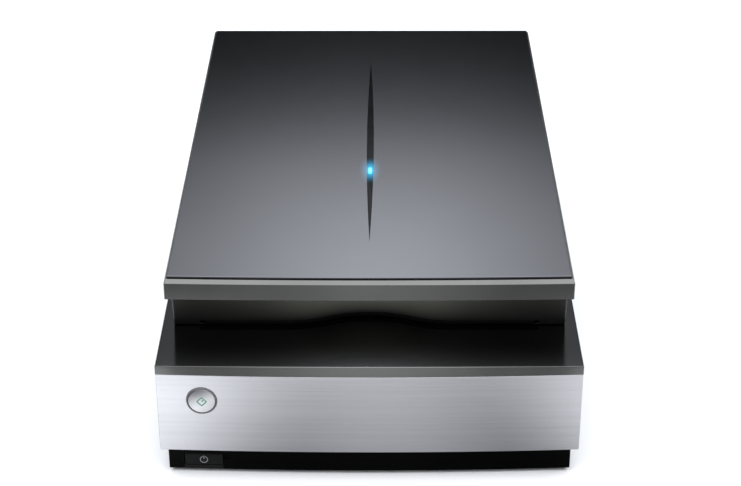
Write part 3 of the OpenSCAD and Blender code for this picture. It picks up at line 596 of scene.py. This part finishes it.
# Height, front, bow and thickness of the lip
LIP_LEVELS = [(PANEL_TOP, Y_FRONT, FRONT_BOW, 1.6), (BASE_TOP - 0.75, Y_FRONT + 2.5, 1.5, 1.0),
              (BASE_TOP - 0.3, Y_FRONT + 2.7, 1.3, 0.9), (BASE_TOP, Y_FRONT + 2.9, 1.2, 0.65)]


def lip_rings(levels, half, ahead=0.0, behind=0.0):
    """Rings of the lip: its front arc, and the same arc set back by its thickness."""
    rings = []
    for z, front, bow, thick in levels:
        arc = bowed(half, front, bow, Y_BACK, steps=48)[:-2]
        ring = [(x, y - ahead, z) for x, y in arc]
        rings.append(ring + [(x, y + thick + behind, z) for x, y in reversed(arc)])
    return rings


def start_hole(sides=64):
    return turned("Y", (START_X, START_Z), [(Y_FRONT - 1, START_HOLE), (Y_FRONT + 12, START_HOLE)],
                  sides=sides)


def make_case():
    """Glossy upper case, with the seat of its front lip and the opening over the document glass."""
    def level(z, front, bow, inset=0.0):
        outline = bowed(HALF_W - inset, front + inset, bow, Y_BACK - inset, 2.5)
        return [(x, y, z) for x, y in outline]

    body = loft("case", [
        level(CASE_BOTTOM, Y_FRONT, FRONT_BOW, 0.35),
        level(CASE_BOTTOM + 0.35, Y_FRONT, FRONT_BOW),
        level(PANEL_TOP, Y_FRONT, FRONT_BOW),
        level(BASE_TOP - 0.75, Y_FRONT + 2.5, 1.5),
        level(BASE_TOP - 0.3, Y_FRONT + 2.7, 1.3, 0.2),
        level(BASE_TOP - 0.08, Y_FRONT + 2.8, 1.2, 0.5),
        level(BASE_TOP, Y_FRONT + 2.8, 1.2, 0.9),
    ])
    inner_low = bowed(HALF_W - WALL, Y_FRONT + 4.5, FRONT_BOW, Y_BACK - WALL)
    inner_top = bowed(HALF_W - WALL, Y_FRONT + 11, 1.2, Y_BACK - WALL)
    shape(body, [prism(inner_low, (CASE_BOTTOM + 2, 88.2)), prism(inner_top, (88.0, TOP_IN))])
    posts = [turned("Z", s, [(27.0, 4.2), (TOP_IN + 0.4, 4.2)], sides=40) for s in SCREWS]
    stud = [(Y_FRONT + 4.6, 1.6), (START_FACE + 16.4, 1.6)]
    posts += [turned("Y", (START_X + i * 10.5, START_Z + j * 12.5), stud, sides=24)
              for i in (-1, 1) for j in (-1, 1)]
    shape(body, posts, "UNION")
    arc = bowed(HALF_W, Y_FRONT + 2, FRONT_BOW, Y_BACK)[:-2]
    strip = [(-FACING_HALF, Y_FRONT - 3), (FACING_HALF, Y_FRONT - 3)]
    strip += [(max(-FACING_HALF, min(FACING_HALF, x)), y) for x, y in reversed(arc)]
    behind = (Y_BACK - 4, Y_BACK + 1)
    cuts = [
        prism(strip, (CASE_BOTTOM - 1, PANEL_TOP)),
        prism(bowed(148.8, Y_FRONT + 5.2, FRONT_BOW, 248.8), (CASE_BOTTOM - 1, CASE_BOTTOM + 3)),
        box((-108, 108), (-166.5, 131.5), (TOP_IN - 1, BASE_TOP + 1)),
        start_hole(),
        box((-6.2, 6.2), behind, (33.4, 45.2)),
        box((118.8, 143.2), behind, (33.4, 51.2)),
        box((-50.2, -29.8), behind, (33.4, 44.2)),
        box((-63.5, -56.5), behind, (38.0, 41.0)),
        turned("X", (122, 58), [(HALF_W - 4, 4), (HALF_W + 1, 4)]),
        turned("X", (122, 58), [(HALF_W - 1.6, 8.4), (HALF_W + 1, 8.4)]),
    ]
    for x in (-LEG_X, LEG_X):
        cuts.append(box((x - 16.7, x + 16.7), (PIVOT_Y - 7.7, PIVOT_Y + 7.7), (TOP_IN - 1, BASE_TOP + 1)))
    for x, y in SCREWS:
        cuts.append(turned("Z", (x, y), [(25.0, 1.5), (46.0, 1.5)], sides=24))
    # seat of the lip, with a fine shadow line behind it
    seat = LIP_LEVELS + [(BASE_TOP + 1, Y_FRONT + 3.0, 1.2, 0.65)]
    cuts.append(loft("tool", lip_rings(seat, HALF_W + 1, ahead=2, behind=0.35)))
    shape(body, cuts)
    piece(body, "case_shell", "base", "case_black", ["upper_case"], bevel=0.22, angle=50)


def make_lip():
    """Grey lip above the facing: upright at the corners, leaning back at the middle."""
    lip = loft("lip", lip_rings(LIP_LEVELS, HALF_W))
    piece(lip, "front_lip", "base", "lid_grey", ["upper_case"], bevel=0.12, angle=50)


def make_front_panel():
    """Brushed facing, bowed forwards, 2 mm thick."""
    xs = [FACING_HALF * (2 * i / 48 - 1) for i in range(49)]
    outer = [(x, Y_FRONT + FRONT_BOW * (x / HALF_W) ** 2) for x in xs]
    inner = [(x, y + 2) for x, y in reversed(outer)]
    panel = prism(outer + inner, (CASE_BOTTOM, PANEL_TOP - 0.15))
    shape(panel, [start_hole(sides=96)])
    piece(panel, "panel_facing", "base", "panel_silver", ["front_panel"], bevel=0.3, segments=3)


def make_start_button():
    """Ring, domed cap and its generic start mark."""
    y = START_FACE
    at = (START_X, START_Z)
    ring = turned("Y", at, [
        (y + 8, 10.2), (y - 0.5, 10.2), (y - 0.75, 10.26), (y - 0.85, 10.4), (y - 0.85, 10.8),
        (y - 0.75, 11.0), (y - 0.5, 11.1), (y + 5.2, 11.1), (y + 5.2, 12.9), (y + 6.9, 12.9),
        (y + 6.9, 11.1), (y + 8, 11.1),
    ], sides=96, closed=True)
    piece(ring, "start_bezel", "base", "ring_grey", ["start_ring"], bevel=0)

    dome = [(y - 1.6 + r * r / 120, r) for r in (0.05, 2, 4, 6, 7.6, 9.1)]
    rim = [(y - 0.85, 9.5), (y - 0.68, 9.78), (y - 0.4, 9.9), (y + 8.5, 9.9), (y + 8.5, 11.0),
           (y + 10, 11.0), (y + 10, 2.5), (y + 12, 2.5)]
    cap = turned("Y", at, dome + rim, sides=96)
    piece(cap, "start_cap", "start_cap", "button_silver", ["start_button"], bevel=0)

    def on_cap(u, v, lift):
        return (START_X + u, y - 1.6 + (u * u + v * v) / 120 - lift, START_Z + v)

    def strip(points, half):
        """Raised line along a path on the cap."""
        bm = bmesh.new()
        rows = []
        for i, p in enumerate(points):
            a = Vector(points[max(0, i - 1)])
            b = Vector(points[min(len(points) - 1, i + 1)])
            along = (b - a).normalized()
            across = Vector((-along.y, along.x)) * half
            left, right = Vector(p) + across, Vector(p) - across
            rows.append([bm.verts.new(on_cap(*q, lift)) for q, lift in
                         ((left, -0.1), (left, 0.1), (right, 0.1), (right, -0.1))])
        for a, b in zip(rows, rows[1:]):
            for i in range(4):
                bm.faces.new((a[i], a[(i + 1) % 4], b[(i + 1) % 4], b[i]))
        bm.faces.new(list(reversed(rows[0])))
        bm.faces.new(rows[-1])
        return to_object("mark", bm)

    r = 3.5
    spots = [(1.15, r - 1.15), (0, r), (-r, 0), (0, -r), (r, 0), (r - 1.15, 1.15)]
    path = fillet(spots, {i: 0.8 for i in range(1, 5)}, steps=4)
    outline = strip(path, 0.48)
    bar = strip([(0.1, 0.1), (1.2, 1.2), (2.1, 2.1)], 0.46)
    shape(outline, [bar], "UNION")
    piece(outline, "start_icon", "start_cap", "mark_green", ["start_mark"], bevel=0.04, segments=1)


def make_feet():
    for i, (x, y) in enumerate(FEET):
        foot = turned("Z", (x, y), [
            (0.35, 4.6), (0.0, 5.2), (0.0, 7.9), (0.25, 8.6), (0.9, 9.0), (2.2, 9.0), (2.8, 8.7),
            (3.0, 8.2), (3.0, 4.0), (4.5, 4.0),
        ])
        piece(foot, f"foot_{i + 1}", "base", "rubber", ["rubber_feet"], bevel=0)


# ---- Lid: outer pieces ----

def make_lid_shell():
    """Slab with its chamfered rim, and the pocket that the top plate lies in."""
    def level(z, inset, front_inset):
        outline = bowed(LID_HALF - inset, LID_FRONT + front_inset, LID_BOW, Y_BACK - inset, 0.9)
        return [(x, y, z) for x, y in outline]

    shell = loft("shell", [
        level(SLAB_BOTTOM, 0.5, 0.5), level(SLAB_BOTTOM + 0.15, 0.2, 0.2), level(SLAB_BOTTOM + 0.5, 0, 0),
        level(147.6, 0, 0), level(147.95, 0.08, 0.12), level(148.3, 0.2, 0.45),
        level(RIM_Z - 0.25, 0.85, 2.5), level(RIM_Z, 1.1, 2.9),
    ])
    pocket = prism(bowed(145.5, -218.7, LID_BOW, 249.4, 0.8), (PLATE_Z, LID_TOP + 1))
    hollow = prism(bowed(LID_HALF - WALL, LID_FRONT + WALL, LID_BOW, Y_BACK - WALL),
                   (SLAB_BOTTOM + 2, SHELL_IN))
    mouth = box((-143, 143), (HOUSING_FRONT + 16, Y_BACK - WALL), (SLAB_BOTTOM - 1, SLAB_BOTTOM + 3))
    guide = box((-6, 6), (-60, -30), (SHELL_IN - 1, LID_TOP))
    shape(shell, [pocket, hollow, mouth, guide])
    piece(shell, "lid_slab", "lid", "lid_grey", ["lid_shell"], bevel=0.18, angle=60)


def make_top_plate():
    """Glossy plate, its long pointed window, and the status light that stands in both."""
    def level(z, inset):
        outline = bowed(145.3 - inset, -218.5 + inset, LID_BOW, 249.2 - inset, 0.7)
        return [(x, y, z) for x, y in outline]

    plate = loft("plate", [
        level(PLATE_Z, 0.0), level(LID_TOP - 0.45, 0.0), level(LID_TOP - 0.2, 0.06),
        level(LID_TOP - 0.06, 0.18), level(LID_TOP, 0.4),
    ])
    groove = prism(spindle(171.1, 2.9), (LID_TOP - 1.6, LID_TOP + 1))

    def well(top):
        return box((-1.6, 1.6), (LIGHT_Y - 4.6, LIGHT_Y + 7.0), (PLATE_Z - 1, top))

    shape(plate, [groove, well(LID_TOP + 1)])
    piece(plate, "lid_plate", "lid", "plate_dark", ["lid_top_plate"], bevel=0)

    window = prism(spindle(171.0, 2.8), (LID_TOP - 1.6, LID_TOP - 0.1))
    shape(window, [well(LID_TOP)])
    piece(window, "light_window", "lid", "window_black", ["status_window"], bevel=0)

    def lozenge(inset):
        rows = []
        for i in range(24):
            a = 2 * math.pi * i / 24
            end = 5.4 if math.sin(a) >= 0 else -3.0
            rows.append(((1.5 - inset) * math.cos(a), LIGHT_Y + end + (1.5 - inset) * math.sin(a)))
        return rows

    levels = [(SHELL_IN - 5, 0.0), (LID_TOP - 0.35, 0.0), (LID_TOP - 0.18, 0.12), (LID_TOP - 0.1, 0.45)]
    lamp = loft("lamp", [[(x, y, z) for x, y in lozenge(inset)] for z, inset in levels])
    piece(lamp, "light_guide", "lid", "light_blue", ["status_light"], bevel=0)


def make_housing():
    """Lower housing of the lid: finger scoop, mat bay, film window and round rear corner."""
    radius = Y_BACK - PIVOT_Y

    def level(z, inset=0.0):
        half = 145 + (z - 90) / 22.5 - inset
        back = Y_BACK
        if z < PIVOT_Z:
            back = PIVOT_Y + math.sqrt(max(0.0, radius ** 2 - (PIVOT_Z - z) ** 2))
        return [(x, y, z) for x, y in scooped(half, HOUSING_FRONT + inset, back, 1.5)]

    heights = [PIVOT_Z - radius * math.cos(math.radians(a)) for a in range(0, 91, 10)]
    skin = [level(HOUSING_BOTTOM, 0.5), level(HOUSING_BOTTOM + 0.15, 0.18), level(HOUSING_BOTTOM + 0.5)]
    skin += [level(z) for z in heights] + [level(SLAB_BOTTOM)]
    housing = loft("housing", skin)
    hollow = prism(scooped(143, HOUSING_FRONT + WALL, Y_BACK - WALL), (LID_FLOOR_IN, SLAB_BOTTOM + 5))
    cuts = [
        hollow,
        box((-123, 123), (HOUSING_FRONT - 20, 156), (HOUSING_BOTTOM - 2, LID_FLOOR - 0.01)),
        box((-126, 126), (HOUSING_FRONT - 21, 156), (97.1, LID_FLOOR)),
        box((-105, 105), (-130, 130), (LID_FLOOR - 1, LID_FLOOR_IN + 1)),
    ]
    for x in (-LEG_X, LEG_X):
        cuts.append(box((x - 18.4, x + 18.4), (PIVOT_Y - 20, Y_BACK + 1),
                        (HOUSING_BOTTOM - 6, PIVOT_Z + 8)))
    for spot in BUMPERS:
        cuts.append(turned("Z", spot, [(HOUSING_BOTTOM - 1, 2.5), (HOUSING_BOTTOM + 2.5, 2.5)], sides=32))
    shape(housing, cuts)
    piece(housing, "lid_lower_housing", "lid", "housing_black", ["lid_housing"], bevel=0.2, angle=55)


def make_bumpers():
    for i, (x, y) in enumerate(BUMPERS):
        bumper = turned("Z", (x, y), [
            (95.72, 1.2), (95.74, 2.6), (95.82, 3.6), (95.95, 4.0), (HOUSING_BOTTOM, 4.0),
            (HOUSING_BOTTOM, 2.5), (HOUSING_BOTTOM + 2.5, 2.5),
        ], sides=40)
        piece(bumper, f"lid_bumper_{i + 1}", "lid", "rubber", ["lid_bumpers"], bevel=0)


def make_mat():
    """Document mat: backing with a lip along its front, and a white, slightly crowned pad."""
    def rings(half, shift, back, levels):
        made = []
        for z, inset in levels:
            outline = scooped(half - inset, HOUSING_FRONT + shift + inset, back - inset, 2.0)
            made.append([(x, y, z) for x, y in outline])
        return made

    backing = loft("backing", rings(125.6, 2.2, 154, [(97.4, 0.3), (97.6, 0.0), (98.7, 0.0), (98.9, 0.3)]))
    lip_levels = [(96.1, 0.7), (96.2, 0.35), (96.5, 0.1), (97.0, 0.0), (98.6, 0.0), (98.9, 0.3)]
    lip = loft("lip", rings(122.6, 0.4, HOUSING_FRONT + 34, lip_levels))
    behind = prism(scooped(140, HOUSING_FRONT + 2.4, HOUSING_FRONT + 40), (95, 97.45))
    above = prism(scooped(140, HOUSING_FRONT + 2.3, HOUSING_FRONT + 40), (97.44, 100))
    shape(lip, [behind, above])
    shape(backing, [lip], "UNION")
    piece(backing, "mat_back", "document_mat", "mat_grey", ["mat_backing"], bevel=0)
    pad_levels = [(95.9, 1.2), (95.98, 0.55), (96.2, 0.15), (96.6, 0.0), (97.39, 0.0)]
    pad = loft("pad", rings(122.6, 2.5, 154, pad_levels))
    piece(pad, "mat_face", "document_mat", "white_plastic", ["mat_pad"], bevel=0)


# ---- Drive belts and springs ----

def make_belt(name, node, body, x, ys, z, inner, thick, pitch):
    """Endless toothed belt round two equal pulleys."""
    length = ys[1] - ys[0]
    total = 2 * length + 2 * math.pi * inner
    teeth = int(total / pitch)

    def along(s, r):
        s %= total
        arc = math.pi * inner
        if s < length:
            return ys[0] + s, z - r
        if s < length + arc:
            a = (s - length) / inner
            return ys[1] + r * math.sin(a), z - r * math.cos(a)
        if s < 2 * length + arc:
            return ys[1] - (s - length - arc), z + r
        a = (s - 2 * length - arc) / inner
        return ys[0] - r * math.sin(a), z + r * math.cos(a)

    bm = bmesh.new()
    rows = []
    root = inner + thick * 0.5
    for i in range(teeth):
        for part, r in ((0.0, root), (0.14, inner), (0.5, inner), (0.64, root)):
            s = (i + part) * total / teeth
            y0, z0 = along(s, r)
            y1, z1 = along(s, inner + thick)
            rows.append([bm.verts.new((x[0], y0, z0)), bm.verts.new((x[1], y0, z0)),
                         bm.verts.new((x[1], y1, z1)), bm.verts.new((x[0], y1, z1))])
    for a, b in zip(rows, rows[1:] + rows[:1]):
        for i in range(4):
            bm.faces.new((a[i], a[(i + 1) % 4], b[(i + 1) % 4], b[i]))
    piece(to_object(name, bm), name, body, "belt_rubber", [node], bevel=0)


def make_spring(name, node, body, middle, axis, radius, wire, turns, length):
    """Round-wire coil spring with closed ends, as a swept mesh."""
    bm = bmesh.new()
    per_turn, sides = 28, 10
    steps = int(turns * per_turn)
    rows = []
    for i in range(steps + 1):
        t = i / steps
        a = 2 * math.pi * turns * t
        place = length * t
        row = []
        for j in range(sides):
            b = 2 * math.pi * j / sides
            q = radius + wire / 2 * math.cos(b)
            u, v, w = q * math.cos(a), q * math.sin(a), place + wire / 2 * math.sin(b)
            local = {"X": (w, u, v), "Y": (u, w, v), "Z": (u, v, w)}[axis]
            row.append(bm.verts.new(tuple(m + c for m, c in zip(middle, local))))
        rows.append(row)
    for a, b in zip(rows, rows[1:]):
        for j in range(sides):
            k = (j + 1) % sides
            bm.faces.new((a[j], a[k], b[k], b[j]))
    bm.faces.new(list(reversed(rows[0])))
    bm.faces.new(rows[-1])
    piece(to_object(name, bm), name, body, "steel", [node], bevel=0)


make_case()
make_lip()
make_front_panel()
make_start_button()
make_feet()
make_lid_shell()
make_top_plate()
make_housing()
make_bumpers()
make_mat()
make_belt("scan_toothed_belt", "scan_belt", "base", (-146, -140), (-228, 205), 40, 5.05, 1.2, 2.03)
make_belt("lamp_toothed_belt", "lamp_belt", "lid", (-138, -133), (-158, 212), 126, 4.05, 1.0, 2.03)
for side in (-1, 1):
    make_spring(f"hinge_coil_{'left' if side < 0 else 'right'}", "hinge_springs", "lid",
                (side * LEG_X - 5, PIVOT_Y, PIVOT_Z), "X", 4.4, 1.3, 6, 10)


# ---- CAD nodes that keep their shape ----

ROUNDED = {
    "plinth_black": 0.35, "housing_black": 0.5, "inner_black": 0.3, "steel": 0.15, "sheet_steel": 0.15,
    "clear_glass": 0.25, "white_plastic": 0.1, "board_green": 0.12, "socket_metal": 0.15, "ring_grey": 0.2,
    "bronze": 0.15, "mirror": 0.15, "lamp_white": 0.4, "lens_glass": 0.3, "pulley_cream": 0.12,
    "mark_grey": 0.04,
}


def dress(node, slot):
    """Rounds the edges of a CAD node with modifiers, and gives it a material."""
    obj = frame["nodes"][node]
    mesh = obj.data
    mesh.materials.clear()
    mesh.materials.append(FINISH[slot])
    mesh.polygons.foreach_set("use_smooth", [True] * len(mesh.polygons))
    mesh.normals_split_custom_set([(0.0, 0.0, 0.0)] * len(mesh.loops))
    weld = obj.modifiers.new("weld", "WELD")
    weld.merge_threshold = 2e-6
    flat = obj.modifiers.new("flat faces", "DECIMATE")
    flat.decimate_type = "DISSOLVE"
    flat.angle_limit = math.radians(0.15)
    edge = obj.modifiers.new("rounded edges", "BEVEL")
    edge.width = ROUNDED.get(slot, 0.2) * MM
    edge.segments = 2
    edge.limit_method = "ANGLE"
    edge.angle_limit = math.radians(40)
    edge.use_clamp_overlap = False
    shade = obj.modifiers.new("shading", "WEIGHTED_NORMAL")
    shade.weight = 90


slots = {entry["node"]: entry["material_slot"] for entry in frame["record"]["subparts"]}
for node in frame["nodes"]:
    if not frame["nodes"][node].hide_render:
        dress(node, slots[node])


# ---- Camera, floor and light ----

# Camera's place in metres, its yaw, pitch and roll in radians, and its lens in millimetres
CAMERA_PLACE = (0.0067038, -1.368423, 0.807266)
CAMERA_TURN = (-0.00493787, 0.49924119, -0.00236455)
CAMERA_LENS = 36.0 * 2.495839406207827
# Sines of elevation between which the surround behind the scanner, and the one overhead, come in
BEHIND_BAND = (0.34, 0.54)
OVERHEAD_BAND = (0.56, 0.75)
# Brightness of the surround behind the scanner, across its band
BEHIND = [(0.0, 0.0), (0.21, 0.0), (0.28, 0.008), (0.35, 0.06), (0.42, 0.19), (0.49, 0.42), (0.59, 0.65),
          (0.69, 0.8), (0.8, 0.9), (1.0, 1.0)]
BEHIND_LEVEL = 0.63
CENTRE_WIDTH = 0.1
CENTRE_RISE = 2.2
FRONT_LOW = 0.35
FRONT_HIGH = 0.9
OVERHEAD = 2.5
# How pale the floor is in reflections, from X -0.3 m to 0.3 m, close to the scanner and further out
NEAR_FLOOR = [(0.1, grey(1.0)), (0.22, grey(0.96)), (0.3, grey(0.6)), (0.35, grey(0.42)),
              (0.41, grey(0.32)), (0.48, grey(0.4)), (0.56, grey(0.4)), (0.68, grey(0.25)),
              (0.74, grey(0.37)), (0.8, grey(0.66)), (0.9, grey(0.82))]
FAR_FLOOR = [(0.0, grey(0.14)), (0.25, grey(0.22)), (0.5, grey(0.5)), (0.75, grey(0.2)),
             (1.0, grey(0.14))]
# Half the floor's width and its height, in millimetres
FLOOR_HALF = 9000
FLOOR_Z = -0.1
# Foot of the plinth, in metres: the floor darkens beside it
PLINTH_HALF = 0.1485
PLINTH_FRONT = -0.246
PLINTH_BACK = 0.2485
PLINTH_BOW = 0.18
CONTACT = [(0.0, grey(0.01)), (0.26, grey(0.02)), (0.33, grey(0.42)), (0.48, grey(0.54)),
           (0.68, grey(0.73)), (1.0, grey(1.0))]


def make_camera():
    yaw, pitch, roll = CAMERA_TURN
    forward = Vector((math.sin(yaw) * math.cos(pitch), math.cos(yaw) * math.cos(pitch), -math.sin(pitch)))
    right = Vector((math.cos(yaw), -math.sin(yaw), 0))
    up = right.cross(forward)
    right, up = right * math.cos(roll) + up * math.sin(roll), up * math.cos(roll) - right * math.sin(roll)
    data = bpy.data.cameras.new("camera")
    data.sensor_width = 36.0
    data.lens = CAMERA_LENS
    data.clip_start = 0.01
    data.clip_end = 60
    camera = bpy.data.objects.new("camera", data)
    scene.collection.objects.link(camera)
    turn = Matrix((right, up, -forward)).transposed().to_4x4()
    camera.matrix_world = Matrix.Translation(CAMERA_PLACE) @ turn
    scene.camera = camera


def make_floor():
    """Pale floor that mirrors only a little; in reflections it is a graded sweep."""
    bm = bmesh.new()
    corners = ((-1, -1), (1, -1), (1, 1), (-1, 1))
    bm.faces.new([bm.verts.new((FLOOR_HALF * i, FLOOR_HALF * j, FLOOR_Z)) for i, j in corners])
    floor = to_object("floor", bm)
    g = Graph("floor")
    g.set(Base_Color=g.blend(g.noise(3.0, 2.0), [(0.3, grey(0.9)), (0.7, grey(0.92))]), Roughness=0.35,
          Specular_IOR_Level=0.3)
    x, y, _ = g.axes()
    # soft contact shade round the foot of the plinth
    bow = g.calc(g.calc(g.calc(x, x, "MULTIPLY"), PLINTH_BOW, "MULTIPLY"), -PLINTH_FRONT)
    side = g.calc(g.calc(x, 0.0, "ABSOLUTE"), -PLINTH_HALF)
    ends = g.calc(g.calc(bow, y, "SUBTRACT"), g.calc(y, -PLINTH_BACK), "MAXIMUM")
    out = g.calc(side, ends, "MAXIMUM")
    shade = g.blend(g.span(out, -0.004, 0.02, 0.0, 1.0), CONTACT)
    base = g.shader.inputs["Base Color"].links[0].from_socket
    g.set(Base_Color=g.mixed(1.0, base, shade, "MULTIPLY"))
    # graded sweep that only reflections see, dimmed close to the scanner
    across = g.span(x, -0.3, 0.3, 0.0, 1.0)
    near = g.span(y, -0.44, -0.38, 0.0, 1.0)
    graded = g.mixed(near, g.blend(across, FAR_FLOOR), g.blend(across, NEAR_FLOOR))
    dim = g.blend(g.span(y, -0.42, -0.26, 0.0, 1.0), [(0.0, grey(1.0)), (1.0, grey(0.66))])
    sweep = g.node("ShaderNodeBsdfDiffuse")
    g.put(sweep, Color=g.mixed(1.0, graded, dim, "MULTIPLY"))
    path = g.node("ShaderNodeLightPath")
    mix = g.node("ShaderNodeMixShader")
    g.link(path.outputs["Is Camera Ray"], mix.inputs["Fac"])
    g.link(sweep.outputs["BSDF"], mix.inputs[1])
    g.link(g.shader.outputs["BSDF"], mix.inputs[2])
    g.link(mix.outputs["Shader"], g.tree.nodes["Material Output"].inputs["Surface"])
    floor.data.materials.append(g.material)


def make_world():
    """Studio surround: bright overhead, with a dark band low behind the scanner that its lid mirrors."""
    world = bpy.data.worlds.new("studio")
    scene.world = world
    world.use_nodes = True
    tree = world.node_tree
    nodes, links = tree.nodes, tree.links

    def calc(operation, a, b=0.0):
        made = nodes.new("ShaderNodeMath")
        made.operation = operation
        for socket, value in zip(made.inputs, (a, b)):
            if isinstance(value, bpy.types.NodeSocket):
                links.new(value, socket)
            else:
                socket.default_value = value
        return made.outputs[0]

    def span(value, low, high, to_low, to_high):
        made = nodes.new("ShaderNodeMapRange")
        links.new(value, made.inputs["Value"])
        for key, number in zip(("From Min", "From Max", "To Min", "To Max"), (low, high, to_low, to_high)):
            made.inputs[key].default_value = number
        return made.outputs["Result"]

    def curve(value, stops):
        made = nodes.new("ShaderNodeFloatCurve")
        links.new(value, made.inputs["Value"])
        line = made.mapping.curves[0]
        while len(line.points) < len(stops):
            line.points.new(0.5, 0.5)
        for point, place in zip(line.points, stops):
            point.location = place
            point.handle_type = "AUTO_CLAMPED"
        made.mapping.update()
        return made.outputs[0]

    where = nodes.new("ShaderNodeTexCoord").outputs["Generated"]
    split = nodes.new("ShaderNodeSeparateXYZ")
    links.new(where, split.inputs["Vector"])
    x, y, z = (split.outputs[k] for k in "XYZ")
    behind = curve(span(z, *BEHIND_BAND, 0.0, 1.0), BEHIND)
    peak = calc("POWER", 2.718, calc("MULTIPLY", calc("MULTIPLY", x, x), -1.0 / CENTRE_WIDTH ** 2))
    rise = calc("ADD", 1.0, calc("MULTIPLY", peak, CENTRE_RISE))
    behind = calc("MULTIPLY", calc("MULTIPLY", behind, BEHIND_LEVEL), rise)
    ahead = span(z, 0.0, 0.5, FRONT_LOW, FRONT_HIGH)
    level = nodes.new("ShaderNodeMix")
    links.new(span(y, 0.05, 0.35, 0.0, 1.0), level.inputs["Factor"])
    links.new(ahead, level.inputs["A"])
    links.new(behind, level.inputs["B"])
    high = nodes.new("ShaderNodeMix")
    links.new(span(z, *OVERHEAD_BAND, 0.0, 1.0), high.inputs["Factor"])
    links.new(level.outputs["Result"], high.inputs["A"])
    high.inputs["B"].default_value = OVERHEAD
    lit = nodes.new("ShaderNodeBackground")
    lit.inputs["Color"].default_value = (0.93, 0.955, 1.0, 1)
    links.new(high.outputs["Result"], lit.inputs["Strength"])
    seen = nodes.new("ShaderNodeBackground")
    seen.inputs["Color"].default_value = (1.0, 1.0, 1.0, 1)
    seen.inputs["Strength"].default_value = 0.95
    path = nodes.new("ShaderNodeLightPath")
    mix = nodes.new("ShaderNodeMixShader")
    links.new(path.outputs["Is Camera Ray"], mix.inputs["Fac"])
    links.new(lit.outputs["Background"], mix.inputs[1])
    links.new(seen.outputs["Background"], mix.inputs[2])
    links.new(mix.outputs["Shader"], nodes["World Output"].inputs["Surface"])


def make_light(name, place, target, size, watts, spread=180):
    """Soft rectangular light that neither the camera nor a mirror shows."""
    data = bpy.data.lights.new(name, "AREA")
    data.shape = "RECTANGLE"
    data.size, data.size_y = size
    data.energy = watts
    data.spread = math.radians(spread)
    light = bpy.data.objects.new(name, data)
    light.location = place
    light.rotation_euler = (Vector(place) - Vector(target)).to_track_quat("Z", "Y").to_euler()
    scene.collection.objects.link(light)
    light.visible_camera = False
    light.visible_glossy = False


make_camera()
make_floor()
make_world()
make_light("key", (-0.9, -0.9, 1.5), (0, 0, 0.05), (1.2, 1.2), 5)
make_light("fill", (1.1, -0.7, 1.3), (0, 0, 0.05), (1.2, 1.2), 4)
make_light("skirt", (0, -0.6, 0.19), (0, -0.19, 0.11), (0.2, 0.02), 0.065, spread=35)
scene.view_settings.view_transform = "Standard"
